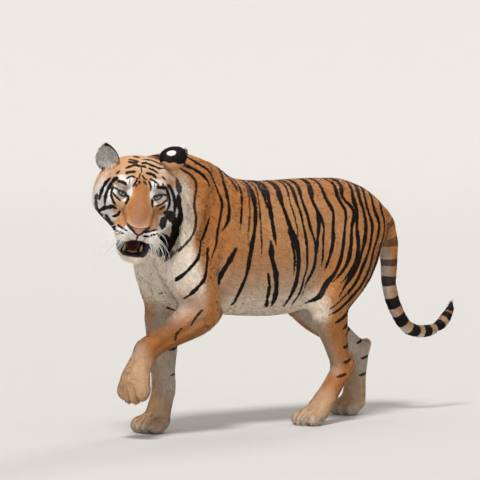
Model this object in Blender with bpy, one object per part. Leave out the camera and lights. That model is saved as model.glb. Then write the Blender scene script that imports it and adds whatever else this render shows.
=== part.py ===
"""A life-size walking Bengal tiger, head turned to its left, as a still museum model.

The animal faces -Y, its left side is +X, and the floor is z = 0.
Each muscle mass is a simple Blender mesh, a lofted tube or an ellipsoid. The masses are
fused by a voxel Remesh, smoothed and decimated, and thin cuts part the whole into nodes.
"""

import math

import bmesh
import bpy
import numpy as np
from mathutils import Euler, Matrix, Vector

# ---------------------------------------------------------------- driving dimensions, metres
HEAD_PLACE = Vector((0.2155, -0.7227, 0.845))   # the point midway between the eyes
HEAD_TURN = math.radians(53)    # to the animal's left
HEAD_NOD = math.radians(22)     # nose down
HEAD_TILT = math.radians(7)     # crown towards its own left
EYE_SPACING = 0.0597            # each eye's centre from the face's middle line
EYE_DEPTH = -0.008              # the eye's centre, ahead of the frame's origin
EYE_RADIUS = 0.0195
CUT = 0.0004                    # gap between neighbouring nodes
VOXEL = 0.005
RING = 24                       # corners round a lofted tube
BODY_ROUNDS = 34                # smoothing of the trunk and legs
HEAD_ROUNDS = 13                # smoothing of the head and paws
FINE_TRIANGLES = 7000           # the whole animal as the head is cut from it
COARSE_TRIANGLES = 3500         # the whole animal as the rest is cut from it
FAR = 3.0                       # half the size of a cutting cell's starting cube

UP = Vector((0, 0, 1))
FORWARD = Vector((0, -1, 0))

HEAD = (
    Matrix.Translation(HEAD_PLACE)
    @ Matrix.Rotation(HEAD_TURN, 4, "Z")
    @ Matrix.Rotation(HEAD_NOD, 4, "X")
    @ Matrix.Rotation(HEAD_TILT, 4, "Y")
)


# ---------------------------------------------------------------- shape helpers
def clear_scene():
    for obj in list(bpy.data.objects):
        bpy.data.objects.remove(obj, do_unlink=True)


def new_object(name, bm):
    mesh = bpy.data.meshes.new(name)
    bm.to_mesh(mesh)
    bm.free()
    obj = bpy.data.objects.new(name, mesh)
    bpy.context.scene.collection.objects.link(obj)
    return obj


def smooth_rows(rows, steps):
    """Catmull-Rom rows between the given ones."""
    rows = np.array(rows, float)
    padded = np.vstack([2 * rows[0] - rows[1], rows, 2 * rows[-1] - rows[-2]])
    out = []
    for i in range(1, len(padded) - 2):
        a, b, c, d = padded[i - 1:i + 3]
        for t in np.arange(steps) / steps:
            curve = 2 * b + (c - a) * t + (2 * a - 5 * b + 4 * c - d) * t**2
            out.append(0.5 * (curve + (3 * b - a - 3 * c + d) * t**3))
    out.append(rows[-1])
    return np.array(out)


def loft(rows, facing, steps=4, squareness=2.0, corners=RING):
    """A closed tube. Each row is x, y, z, half width, reach to the facing side, reach behind."""
    rows = smooth_rows(rows, steps)
    points = [Vector(r[:3]) for r in rows]
    bm = bmesh.new()
    rings = []
    for i, row in enumerate(rows):
        along = (points[min(i + 1, len(rows) - 1)] - points[max(i - 1, 0)]).normalized()
        front = (facing - facing.dot(along) * along).normalized()
        side = along.cross(front)
        ring = []
        for k in range(corners):
            turn = 2 * math.pi * k / corners
            c, s = math.cos(turn), math.sin(turn)
            reach = row[4] if s > 0 else row[5]
            c = math.copysign(abs(c) ** (2 / squareness), c) * row[3]
            s = math.copysign(abs(s) ** (2 / squareness), s) * reach
            ring.append(bm.verts.new(points[i] + side * c + front * s))
        rings.append(ring)
    for low, high in zip(rings, rings[1:]):
        for k in range(corners):
            bm.faces.new((low[k], low[(k + 1) % corners], high[(k + 1) % corners], high[k]))
    bm.faces.new(rings[0][::-1])
    bm.faces.new(rings[-1])
    bmesh.ops.recalc_face_normals(bm, faces=bm.faces)
    return new_object("loft", bm)


def limb(start, end, sections, facing=FORWARD):
    """A straight length of leg. Each section is the share of the way, half width, front, back."""
    start, end = Vector(start), Vector(end)
    rows = [(*start.lerp(end, t), w, f, b) for t, w, f, b in sections]
    return loft(rows, facing, steps=3)


def ellipsoid(centre, radii, turn=(0, 0, 0), fineness=3):
    bm = bmesh.new()
    bmesh.ops.create_icosphere(bm, subdivisions=fineness, radius=1)
    place = Matrix.Translation(centre) @ Euler([math.radians(a) for a in turn]).to_matrix().to_4x4()
    bmesh.ops.transform(bm, matrix=place @ Matrix.Diagonal((*radii, 1)), verts=bm.verts)
    return new_object("ellipsoid", bm)


def pair(centre, radii, turn=(0, 0, 0)):
    """The same mass on the left and, mirrored, on the right."""
    x, y, z = centre
    ax, ay, az = turn
    return [ellipsoid((x, y, z), radii, (ax, ay, az)), ellipsoid((-x, y, z), radii, (ax, -ay, -az))]


def apply_modifiers(obj):
    graph = bpy.context.evaluated_depsgraph_get()
    mesh = bpy.data.meshes.new_from_object(obj.evaluated_get(graph))
    obj.modifiers.clear()
    obj.data = mesh
    return obj


def join(name, objects):
    bm = bmesh.new()
    for obj in objects:
        bm.from_mesh(obj.data)
        bpy.data.objects.remove(obj)
    return new_object(name, bm)


def boolean(obj, other, operation, keep_other=False):
    cut = obj.modifiers.new("cut", "BOOLEAN")
    cut.operation = operation
    cut.solver = "EXACT"
    cut.object = other
    bpy.context.view_layer.update()
    apply_modifiers(obj)
    if not keep_other:
        bpy.data.objects.remove(other)
    return obj


def cell(planes, grow=0.0):
    """The convex block on the inner side of every plane (point, outward normal)."""
    bm = bmesh.new()
    bmesh.ops.create_cube(bm, size=2 * FAR)
    for point, normal in planes:
        normal = Vector(normal).normalized()
        point = Vector(point) + normal * grow
        everything = bm.verts[:] + bm.edges[:] + bm.faces[:]
        cut = bmesh.ops.bisect_plane(bm, geom=everything, plane_co=point, plane_no=normal, clear_outer=True)
        edges = [e for e in cut["geom_cut"] if isinstance(e, bmesh.types.BMEdge)]
        bmesh.ops.contextual_create(bm, geom=edges)
    bmesh.ops.recalc_face_normals(bm, faces=bm.faces)
    return new_object("cell", bm)


def duplicate(obj, name):
    copy = obj.copy()
    copy.data = obj.data.copy()
    copy.name = name
    bpy.context.scene.collection.objects.link(copy)
    return copy


def part_off(body, name, planes):
    """Takes what lies in the cell out of the body, as a node of its own."""
    piece = duplicate(body, name)
    boolean(piece, cell(planes), "INTERSECT")
    boolean(body, cell(planes, grow=CUT), "DIFFERENCE")
    return piece


# ---------------------------------------------------------------- the trunk, neck and tail
def trunk_masses():
    # x, y, z of the widest level, half width, height above it, depth below it
    rows = [
        (0.020, -0.545, 0.660, 0.045, 0.055, 0.050),
        (0.018, -0.515, 0.660, 0.085, 0.130, 0.120),
        (0.008, -0.455, 0.660, 0.122, 0.200, 0.190),
        (0.000, -0.370, 0.660, 0.145, 0.245, 0.228),
        (0.000, -0.250, 0.650, 0.162, 0.262, 0.238),
        (0.000, -0.160, 0.645, 0.170, 0.238, 0.246),
        (0.000, -0.040, 0.640, 0.178, 0.226, 0.252),
        (0.000, 0.080, 0.638, 0.178, 0.226, 0.254),
        (0.000, 0.190, 0.648, 0.166, 0.220, 0.242),
        (0.000, 0.310, 0.670, 0.148, 0.200, 0.205),
        (0.000, 0.420, 0.690, 0.138, 0.164, 0.165),
        (0.000, 0.510, 0.690, 0.118, 0.122, 0.130),
        (0.000, 0.580, 0.690, 0.072, 0.072, 0.080),
    ]
    masses = [loft(rows, UP, squareness=2.15)]
    # shoulder blades; the right one stands high over the leg that carries the weight
    masses.append(loft([(-0.042, -0.290, 0.950, 0.030, 0.055, 0.060),
                        (-0.078, -0.330, 0.830, 0.050, 0.080, 0.090),
                        (-0.106, -0.385, 0.680, 0.064, 0.085, 0.090)], FORWARD))
    masses.append(loft([(0.046, -0.310, 0.940, 0.030, 0.055, 0.060),
                        (0.088, -0.390, 0.820, 0.052, 0.085, 0.095),
                        (0.116, -0.490, 0.670, 0.064, 0.085, 0.095)], FORWARD))
    masses.append(ellipsoid((0, 0.340, 0.788), (0.100, 0.150, 0.078)))
    return masses


def neck_masses():
    rows = [
        (0.000, -0.120, 0.740, 0.080, 0.130, 0.120),
        (0.000, -0.200, 0.745, 0.100, 0.166, 0.150),
        (0.000, -0.290, 0.760, 0.115, 0.192, 0.180),
        (0.008, -0.390, 0.765, 0.122, 0.212, 0.180),
        (0.034, -0.480, 0.780, 0.118, 0.200, 0.170),
        (0.072, -0.560, 0.805, 0.114, 0.172, 0.155),
        (0.112, -0.620, 0.830, 0.110, 0.140, 0.135),
        (0.150, -0.655, 0.840, 0.098, 0.110, 0.110),
    ]
    return [loft(rows, UP)]


def tail_masses():
    # x, y, z, radius
    path = [
        (0.000, 0.520, 0.740, 0.055),
        (0.003, 0.590, 0.705, 0.048),
        (0.006, 0.625, 0.635, 0.040),
        (0.008, 0.632, 0.550, 0.033),
        (0.010, 0.630, 0.470, 0.029),
        (0.012, 0.660, 0.385, 0.027),
        (0.014, 0.715, 0.315, 0.026),
        (0.016, 0.790, 0.293, 0.025),
        (0.018, 0.865, 0.305, 0.024),
        (0.020, 0.915, 0.345, 0.022),
        (0.021, 0.938, 0.395, 0.012),
    ]
    rows = [(x, y, z, r, r, r) for x, y, z, r in path]
    return [loft(rows, Vector((0, 1, 0.4)))]


# ---------------------------------------------------------------- the legs
FORE_LEFT = dict(side=1, shoulder=(0.118, -0.500, 0.650), elbow=(0.140, -0.362, 0.425),
                 wrist=(0.122, -0.612, 0.312), ball=(0.120, -0.660, 0.225), toes=(0.120, -0.672, 0.160))
FORE_RIGHT = dict(side=-1, shoulder=(-0.108, -0.390, 0.640), elbow=(-0.118, -0.335, 0.440),
                  wrist=(-0.082, -0.362, 0.150), ball=(-0.068, -0.405, 0.040), toes=(-0.062, -0.462, 0.024))
HIND_LEFT = dict(side=1, hip=(0.085, 0.400, 0.680), knee=(0.124, 0.205, 0.440),
                 hock=(0.108, 0.310, 0.190), ball=(0.105, 0.190, 0.040), toes=(0.103, 0.132, 0.020))
HIND_RIGHT = dict(side=-1, hip=(-0.085, 0.400, 0.680), knee=(-0.120, 0.330, 0.400),
                  hock=(-0.106, 0.590, 0.225), ball=(-0.100, 0.560, 0.044), toes=(-0.098, 0.500, 0.020))


def fore_leg(side, shoulder, elbow, wrist, ball, toes):
    back_of_elbow = Vector(elbow) + Vector((0, 0.038, 0.008))
    return [
        limb(shoulder, elbow, [(-0.2, 0.052, 0.065, 0.085), (0.25, 0.066, 0.085, 0.118),
                               (0.65, 0.066, 0.078, 0.112), (1.0, 0.054, 0.062, 0.070),
                               (1.15, 0.034, 0.040, 0.046)]),
        ellipsoid(back_of_elbow, (0.036, 0.040, 0.044)),
        limb(elbow, wrist, [(-0.10, 0.050, 0.056, 0.056), (0.15, 0.060, 0.070, 0.066),
                            (0.45, 0.054, 0.060, 0.056), (0.80, 0.045, 0.045, 0.043),
                            (1.0, 0.047, 0.043, 0.047), (1.12, 0.042, 0.038, 0.041)]),
        limb(wrist, ball, [(-0.1, 0.044, 0.040, 0.044), (0.5, 0.048, 0.038, 0.040), (1.0, 0.056, 0.040, 0.036)]),
    ] + paw(ball, toes, 0.066)


def hind_leg(side, hip, knee, hock, ball, toes):
    heel = Vector(hock) + Vector((0, 0.034, 0.018))
    return [
        limb(hip, knee, [(-0.25, 0.050, 0.090, 0.110), (0.15, 0.064, 0.118, 0.142),
                         (0.55, 0.068, 0.104, 0.142), (0.90, 0.058, 0.070, 0.108),
                         (1.12, 0.046, 0.050, 0.070)]),
        limb(knee, hock, [(-0.15, 0.050, 0.058, 0.075), (0.20, 0.054, 0.064, 0.088),
                          (0.55, 0.043, 0.050, 0.062), (0.85, 0.038, 0.040, 0.046),
                          (1.0, 0.038, 0.040, 0.046)]),
        ellipsoid(heel, (0.025, 0.026, 0.036), (-20, 0, 0)),
        limb(hock, ball, [(-0.1, 0.038, 0.038, 0.040), (0.5, 0.041, 0.037, 0.037), (1.0, 0.050, 0.040, 0.036)]),
    ] + paw(ball, toes, 0.059)


def paw(ball, toes, half_width):
    """A broad foot: its body, and four round toes side by side."""
    ball, toes = Vector(ball), Vector(toes)
    along = (toes - ball).normalized()
    side = Vector((1, 0, 0))
    top = side.cross(along).normalized()
    if top.dot(Vector((0, -0.5, 1))) < 0:
        top = -top
    turn = Matrix((side, along, side.cross(along))).transposed().to_euler()
    angles = [math.degrees(a) for a in turn]
    reach = (toes - ball).length
    masses = [ellipsoid(ball.lerp(toes, 0.35), (half_width, 0.55 * reach + 0.030, half_width * 0.62), angles)]
    for k in (-1.5, -0.5, 0.5, 1.5):
        place = toes + side * (k * half_width * 0.52) - along * (0.012 * abs(k) - 0.006)
        masses.append(ellipsoid(place, (half_width * 0.33, half_width * 0.52, half_width * 0.44), angles))
    return masses


# ---------------------------------------------------------------- the head
def head_masses():
    """In the head's own frame: origin midway between the eyes, -Y to the nose, +Z to the crown."""
    # x, y, z, half width, height above, depth below
    face = [(0, 0.120, 0.005, 0.098, 0.085, 0.100),
            (0, 0.080, 0.000, 0.110, 0.095, 0.120),
            (0, 0.040, 0.000, 0.106, 0.086, 0.120),
            (0, 0.010, -0.005, 0.094, 0.066, 0.110),
            (0, -0.016, -0.020, 0.073, 0.050, 0.090),
            (0, -0.042, -0.036, 0.053, 0.042, 0.070),
            (0, -0.074, -0.058, 0.043, 0.036, 0.050),
            (0, -0.102, -0.078, 0.040, 0.028, 0.036),
            (0, -0.124, -0.086, 0.035, 0.019, 0.026)]
    ruff = [(0, 0.015, -0.060, 0.070, 0.070, 0.080),
            (0, 0.045, -0.060, 0.122, 0.110, 0.120),
            (0, 0.080, -0.058, 0.146, 0.136, 0.142),
            (0, 0.115, -0.050, 0.140, 0.136, 0.138),
            (0, 0.150, -0.040, 0.118, 0.115, 0.120),
            (0, 0.175, -0.035, 0.080, 0.080, 0.080)]
    snout = [(0, 0.045, -0.070, 0.108, 0.080, 0.090),
             (0, 0.010, -0.080, 0.094, 0.068, 0.074),
             (0, -0.020, -0.088, 0.080, 0.054, 0.058),
             (0, -0.048, -0.096, 0.071, 0.040, 0.044),
             (0, -0.076, -0.102, 0.066, 0.029, 0.030),
             (0, -0.100, -0.105, 0.056, 0.021, 0.022),
             (0, -0.117, -0.105, 0.038, 0.014, 0.015)]
    masses = [loft(face, UP, squareness=2.2), loft(ruff, UP, squareness=2.3), loft(snout, UP, squareness=2.2)]
    masses += pair((0.038, -0.084, -0.106), (0.036, 0.044, 0.028), (12, 0, 14))    # whisker pads
    masses += pair((0.060, 0.044, -0.040), (0.056, 0.076, 0.056))                  # cheek bones
    masses += pair((0.054, 0.006, 0.036), (0.030, 0.026, 0.016), (0, 15, 0))       # brows
    return masses


def jaw_masses():
    rows = [(0, 0.060, -0.150, 0.098, 0.040, 0.058),
            (0, 0.010, -0.166, 0.080, 0.030, 0.050),
            (0, -0.030, -0.178, 0.062, 0.022, 0.040),
            (0, -0.066, -0.187, 0.051, 0.015, 0.031),
            (0, -0.096, -0.193, 0.040, 0.012, 0.023)]
    return [loft(rows, UP, squareness=2.2), ellipsoid((0, -0.084, -0.194), (0.044, 0.025, 0.024))]


def in_head(objects):
    for obj in objects:
        obj.data.transform(HEAD)
    return objects


def turned(along, towards):
    """A rotation with +Z along the first direction and -Y as near as can be to the second."""
    z = Vector(along).normalized()
    y = -(Vector(towards) - Vector(towards).dot(z) * z).normalized()
    return Matrix((y.cross(z), y, z)).transposed().to_4x4()


def ear(name, root, along, opening):
    """A rounded bowl on a short root; along points to its tip, opening the way it listens."""
    bowl = ellipsoid((0, 0.004, 0.030), (0.042, 0.020, 0.056))
    hollow = ellipsoid((0, -0.020, 0.040), (0.034, 0.024, 0.042), fineness=2)
    boolean(bowl, hollow, "DIFFERENCE")
    bowl.data.transform(HEAD @ Matrix.Translation(root) @ turned(along, opening))
    bowl.name = name
    return bowl


def eyes():
    return [ellipsoid((side * EYE_SPACING, EYE_DEPTH, 0), (EYE_RADIUS,) * 3, fineness=2) for side in (1, -1)]


def tongue_mass():
    rows = [(0, 0.012, -0.166, 0.030, 0.012, 0.010),
            (0, -0.030, -0.163, 0.028, 0.011, 0.010),
            (0, -0.062, -0.168, 0.025, 0.009, 0.009),
            (0, -0.082, -0.174, 0.014, 0.005, 0.005)]
    return loft(rows, UP, steps=2, corners=10)


def cone(base, tip, radius):
    base, tip = Vector(base), Vector(tip)
    bm = bmesh.new()
    bmesh.ops.create_cone(bm, cap_ends=True, segments=8, radius1=radius, radius2=radius * 0.25,
                          depth=(tip - base).length)
    turn = UP.rotation_difference(tip - base).to_matrix().to_4x4()
    bmesh.ops.transform(bm, matrix=Matrix.Translation((base + tip) / 2) @ turn, verts=bm.verts)
    return new_object("cone", bm)


# ---------------------------------------------------------------- fusing and parting
def head_nearness(point):
    """1 on the head and near the floor, 0 on the trunk."""
    near_head = (0.25 - (HEAD.inverted() @ point).length) / 0.08
    near_floor = (0.14 - point.z) / 0.05
    near_lifted_paw = (0.14 - (point - Vector(FORE_LEFT["ball"])).length) / 0.05
    return min(max(near_head, near_floor, near_lifted_paw, 0.0), 1.0)


def fuse(masses):
    body = join("body", masses)
    remesh = body.modifiers.new("fuse", "REMESH")
    remesh.mode = "VOXEL"
    remesh.voxel_size = VOXEL
    apply_modifiers(body)
    trunk = body.vertex_groups.new(name="trunk")
    for v in body.data.vertices:
        trunk.add([v.index], 1 - head_nearness(v.co), "REPLACE")
    for group, rounds in (("trunk", BODY_ROUNDS), ("", HEAD_ROUNDS)):
        soften = body.modifiers.new("soften", "SMOOTH")
        soften.factor = 0.6
        soften.iterations = rounds
        soften.vertex_group = group
    return apply_modifiers(body)


def thinned(body, triangles):
    """A copy with fewer faces, closed and cut flat where it stands."""
    copy = duplicate(body, "thinned")
    thin = copy.modifiers.new("thin", "DECIMATE")
    thin.ratio = triangles / (2 * len(body.data.polygons))
    apply_modifiers(copy)
    return boolean(copy, cell([((0, 0, 0), (0, 0, -1))]), "INTERSECT")


def grown(obj, gap):
    """A copy a little larger all round, to cut a neighbour with."""
    copy = duplicate(obj, "grown")
    swell = copy.modifiers.new("swell", "DISPLACE")
    swell.strength = gap
    swell.mid_level = 0
    return apply_modifiers(copy)


def in_head_frame(planes):
    turn = HEAD.to_3x3()
    return [(HEAD @ Vector(point), turn @ Vector(normal)) for point, normal in planes]


HEAD_CELL = in_head_frame([((0, 0.135, 0), (0, 1, 0.10)), ((0, 0.10, -0.235), (0, 0.45, -1)),
                           ((0.165, 0, 0), (1, 0, 0)), ((-0.165, 0, 0), (-1, 0, 0))])


def part_head(fine):
    head = part_off(fine, "head", HEAD_CELL)
    jaw = part_off(head, "lower_jaw", in_head_frame([((0, 0.030, 0), (0, 1, 0)), ((0, -0.04, -0.150), (0, 0.14, 1)),
                                                     ((0.085, 0, 0), (1, 0, 0)), ((-0.085, 0, 0), (-1, 0, 0))]))
    nose = part_off(head, "nose", in_head_frame([((0, -0.112, 0), (0, 1, 0)), ((0, 0, -0.060), (0, 0, 1)),
                                                 ((0, 0, -0.098), (0, 0, -1)), ((0.036, 0, 0), (1, 0, 0)),
                                                 ((-0.036, 0, 0), (-1, 0, 0))]))
    for eye, name in zip(in_head(eyes()), ("eye_left", "eye_right")):
        eye.name = name
        boolean(head, grown(eye, CUT), "DIFFERENCE")
    for side in (1, -1):
        orbit = ellipsoid((side * 0.062, -0.036, 0.001), (0.024, 0.016, 0.014), (0, side * 12, side * 20))
        boolean(head, in_head([orbit])[0], "DIFFERENCE")
    tongue = in_head([tongue_mass()])[0]
    tongue.name = "tongue"
    boolean(jaw, grown(tongue, CUT), "DIFFERENCE")
    boolean(head, grown(tongue, CUT), "DIFFERENCE")
    teeth = [cone((side * 0.0255, -0.078, -0.186), (side * 0.0265, -0.084, -0.146), 0.007) for side in (1, -1)]
    teeth.append(ellipsoid((0, -0.094, -0.182), (0.018, 0.006, 0.009), fineness=2))
    for tooth in in_head(teeth):
        boolean(jaw, tooth, "UNION")
    return head


def part_ears(head):
    ears = [ear("ear_right", (-0.108, 0.088, 0.052), (-0.26, 0.05, 0.95), (-0.35, -0.93, 0.0)),
            ear("ear_left", (0.084, 0.100, 0.086), (0.80, 0.36, 0.44), (0.35, 0.78, -0.55))]
    for shell in ears:
        boolean(shell, grown(head, CUT), "DIFFERENCE")


def part_tail(body):
    back, down = (0, 1, 0), (0, 0, -1)
    sides = [((0.055, 0, 0), (1, 0, 0)), ((-0.052, 0, 0), (-1, 0, 0))]
    tail = part_off(body, "tail_root", sides + [((0, 0.575, 0.730), (0, -0.8, 0.6)), ((0, 0.585, 0), (0, -1, 0))])
    middle = part_off(tail, "tail_middle", [((0, 0, 0.500), (0, 0, 1))])
    part_off(middle, "tail_tip", [((0, 0.760, 0), (0, -1, 0))])


def part_legs(body):
    out, top, front = (1, 0, 0), (0, 0, 1), (0, 1, 0)
    left = [((0.062, 0, 0), (-1, 0, 0))]
    right = [((-0.062, 0, 0), (1, 0, 0))]
    fore = [((0, -0.250, 0), front), ((0, 0, 0.740), (0, 0.2, 1))]
    hind = [((0, 0.100, 0.380), (0, -0.40, 0.20)), ((0, 0, 0.760), top)]

    lower = part_off(body, "fore_right_forearm", [((0.045, 0, 0), out), ((0, -0.2, 0), front), ((0, 0, 0.398), top)])
    part_off(lower, "fore_right_paw", [((0, -0.37, 0.110), (0, 0.3, 1))])
    part_off(body, "fore_right_upper", right + fore)

    elbow = [((0.045, 0, 0), (-1, 0, 0)), ((0, -0.400, 0.405), (0, 0.91, 0.41)), ((0, 0, 0.500), top)]
    lower = part_off(body, "fore_left_forearm", elbow)
    part_off(lower, "fore_left_paw", [((0, -0.625, 0.275), (0, 0.35, 0.94))])
    part_off(body, "fore_left_upper", left + fore)

    shank = [((0.030, 0, 0), (-1, 0, 0)), ((0, 0, 0.378), top), ((0, -0.05, 0), (0, -1, 0))]
    lower = part_off(body, "hind_left_shank", shank)
    part_off(lower, "hind_left_foot", [((0, 0.300, 0.165), (0, 0.3, 1))])
    part_off(body, "hind_left_thigh", left + hind)

    shank = [((-0.030, 0, 0), out), ((0, 0, 0.378), top), ((0, -0.05, 0), (0, -1, 0))]
    lower = part_off(body, "hind_right_shank", shank)
    part_off(lower, "hind_right_foot", [((0, 0.590, 0.190), top)])
    part_off(body, "hind_right_thigh", right + hind)


def stand_on_origin():
    """Moves every node so that the origin is the middle of the animal's box, on the floor."""
    corners = np.array([v.co for obj in bpy.context.scene.objects for v in obj.data.vertices])
    middle = (corners.min(axis=0) + corners.max(axis=0)) / 2
    for obj in bpy.context.scene.objects:
        obj.data.transform(Matrix.Translation((-middle[0], -middle[1], -corners[:, 2].min())))


def colour(obj, name, rgb, roughness):
    material = bpy.data.materials.get(name) or bpy.data.materials.new(name)
    material.use_nodes = True
    shader = material.node_tree.nodes["Principled BSDF"]
    shader.inputs["Base Color"].default_value = (*rgb, 1)
    shader.inputs["Roughness"].default_value = roughness
    shader.inputs["Metallic"].default_value = 0
    obj.data.materials.clear()
    obj.data.materials.append(material)


def main():
    clear_scene()
    masses = trunk_masses() + neck_masses() + tail_masses()
    masses += fore_leg(**FORE_LEFT) + fore_leg(**FORE_RIGHT)
    masses += hind_leg(**HIND_LEFT) + hind_leg(**HIND_RIGHT)
    masses += in_head(head_masses() + jaw_masses())
    whole = fuse(masses)
    fine = thinned(whole, FINE_TRIANGLES)
    body = thinned(whole, COARSE_TRIANGLES)
    bpy.data.objects.remove(whole)
    head = part_head(fine)
    bpy.data.objects.remove(fine)
    boolean(body, cell(HEAD_CELL, grow=CUT), "DIFFERENCE")
    part_ears(head)
    part_off(body, "neck", [((0, -0.36, 0.97), (0, 0.84, -0.54))])
    part_tail(body)
    part_legs(body)
    part_off(body, "chest", [((0, -0.180, 0), (0, 1, 0))])
    part_off(body, "rump", [((0, 0.240, 0), (0, -1, 0))])
    body.name = "belly"
    stand_on_origin()
    for obj in bpy.context.scene.objects:
        if obj.name.startswith("eye"):
            colour(obj, "eye", (0.30, 0.32, 0.18), 0.1)
        elif obj.name == "nose":
            colour(obj, "nose_leather", (0.60, 0.30, 0.25), 0.45)
        elif obj.name == "tongue":
            colour(obj, "tongue_flesh", (0.45, 0.15, 0.14), 0.4)
        else:
            colour(obj, "striped_coat", (0.62, 0.32, 0.12), 0.8)


main()
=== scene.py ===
import math
import bpy
import bmesh
import numpy as np
from mathutils import Euler, Matrix, Vector
from mathutils.bvhtree import BVHTree


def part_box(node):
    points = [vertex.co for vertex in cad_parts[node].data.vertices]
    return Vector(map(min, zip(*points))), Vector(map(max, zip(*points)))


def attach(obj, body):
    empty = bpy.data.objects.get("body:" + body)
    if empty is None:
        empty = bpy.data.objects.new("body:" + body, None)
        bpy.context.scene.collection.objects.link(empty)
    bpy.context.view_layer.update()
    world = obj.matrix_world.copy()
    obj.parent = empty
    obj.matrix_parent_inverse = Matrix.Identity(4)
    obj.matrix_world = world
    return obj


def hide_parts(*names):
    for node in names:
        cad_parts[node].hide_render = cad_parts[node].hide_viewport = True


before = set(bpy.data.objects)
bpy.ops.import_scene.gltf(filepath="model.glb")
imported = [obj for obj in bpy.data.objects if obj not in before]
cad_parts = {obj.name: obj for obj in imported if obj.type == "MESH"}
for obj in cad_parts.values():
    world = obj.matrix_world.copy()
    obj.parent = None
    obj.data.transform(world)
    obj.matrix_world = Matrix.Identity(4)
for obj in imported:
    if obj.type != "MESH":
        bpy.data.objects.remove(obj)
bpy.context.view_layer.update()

up = Vector((0, 0, 1))
rng = np.random.default_rng(11)

# Where the head is: its frame has the origin midway between the eyes, -Y to the nose, +Z to the crown.
headPlace = {
    "origin": (0.2155, -0.7227, 0.845),
    "turn": 53,          # degrees to the animal's left
    "nod": 22,
    "tilt": 7,
    "eyeSpacing": 0.0597,
    "eyeDepth": -0.008,
    "eyeRadius": 0.0195,
}
headMatrix = (
    Matrix.Translation(headPlace["origin"])
    @ Matrix.Rotation(math.radians(headPlace["turn"]), 4, "Z")
    @ Matrix.Rotation(math.radians(headPlace["nod"]), 4, "X")
    @ Matrix.Rotation(math.radians(headPlace["tilt"]), 4, "Y")
)

# The solids stand with the middle of their box over the origin. Everything below is laid out with
# the animal's own middle line at x = 0, and moved by this much when it becomes an object.
eyeLow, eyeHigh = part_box("eye_left")
eyeLeft = Vector((headPlace["eyeSpacing"], headPlace["eyeDepth"], 0))
shift = (eyeLow + eyeHigh) / 2 - headMatrix @ eyeLeft


def moved(points, matrix):
    # rows of points, each put through a matrix
    matrix = np.array(matrix)
    return np.asarray(points, float) @ matrix[:3, :3].T + matrix[:3, 3]


def toHead(points):
    return moved(points, headMatrix.inverted())


def fromHead(points):
    return moved(points, headMatrix)


def ramp(value, low, high):
    # 0 below low, 1 above high, eased between; low may be the larger of the two
    t = np.clip((value - low) / (high - low), 0, 1)
    return t * t * (3 - 2 * t)


def linearColour(hexText):
    parts = [int(hexText[i:i + 2], 16) / 255 for i in (1, 3, 5)]
    return [p / 12.92 if p <= 0.04045 else ((p + 0.055) / 1.055) ** 2.4 for p in parts]


def placed(name, data):
    obj = bpy.data.objects.new(name, data)
    bpy.context.scene.collection.objects.link(obj)
    return obj


def newObject(name, verts, faces):
    mesh = bpy.data.meshes.new(name)
    mesh.from_pydata([tuple(v) for v in np.asarray(verts) + np.array(shift)], [], faces)
    mesh.update()
    mesh.shade_smooth()
    return placed(name, mesh)


def vertexRows(mesh, what):
    # the places ("co") or the normals ("normal") of a mesh, a row for each vertex
    flat = np.zeros(len(mesh.vertices) * 3, np.float32)
    mesh.vertices.foreach_get(what, flat)
    return flat.reshape(-1, 3).astype(float)


def setCoordinates(mesh, points):
    mesh.vertices.foreach_set("co", np.asarray(points, np.float32).ravel())
    mesh.update()


def smoothRows(rows, steps):
    # Catmull-Rom rows between the given ones
    rows = np.array(rows, float)
    padded = np.vstack([2 * rows[0] - rows[1], rows, 2 * rows[-1] - rows[-2]])
    out = []
    for i in range(1, len(padded) - 2):
        a, b, c, d = padded[i - 1:i + 3]
        for t in np.arange(steps) / steps:
            curve = 2 * b + (c - a) * t + (2 * a - 5 * b + 4 * c - d) * t**2
            out.append(0.5 * (curve + (3 * b - a - 3 * c + d) * t**3))
    out.append(rows[-1])
    return np.array(out)


def ringFaces(rings, corners, start=0, closed=False):
    # the faces between rings of vertices that are laid one after another
    faces = []
    for i in range(rings if closed else rings - 1):
        low, high = start + i * corners, start + (i + 1) % rings * corners
        for k in range(corners):
            far = (k + 1) % corners
            faces.append((low + k, low + far, high + far, high + k))
    return faces


def endFaces(rings, corners):
    return [tuple(range(corners))[::-1], tuple(range((rings - 1) * corners, rings * corners))]


def loft(rows, squareness, steps=4, corners=28):
    # a closed tube along -Y in head coordinates; each row is x, y, z, half width, height above, depth below
    rows = smoothRows(rows, steps)
    turns = 2 * math.pi * np.arange(corners) / corners
    c, s = (np.sign(wave) * np.abs(wave) ** (2 / squareness) for wave in (np.cos(turns), np.sin(turns)))
    bm = bmesh.new()
    verts = []
    for x, y, z, half, above, below in rows:
        ring = np.column_stack([x + c * half, np.full(corners, y), z + s * np.where(s > 0, above, below)])
        verts += [bm.verts.new(p) for p in ring]
    for face in ringFaces(len(rows), corners) + endFaces(len(rows), corners):
        bm.faces.new([verts[i] for i in face])
    bmesh.ops.recalc_face_normals(bm, faces=bm.faces)
    return bm


def ellipsoid(centre, radii, turn=(0, 0, 0)):
    bm = bmesh.new()
    bmesh.ops.create_icosphere(bm, subdivisions=4, radius=1)
    place = Matrix.Translation(centre) @ Euler([math.radians(a) for a in turn]).to_matrix().to_4x4()
    bmesh.ops.transform(bm, matrix=place @ Matrix.Diagonal((*radii, 1)), verts=bm.verts)
    return bm


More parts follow.
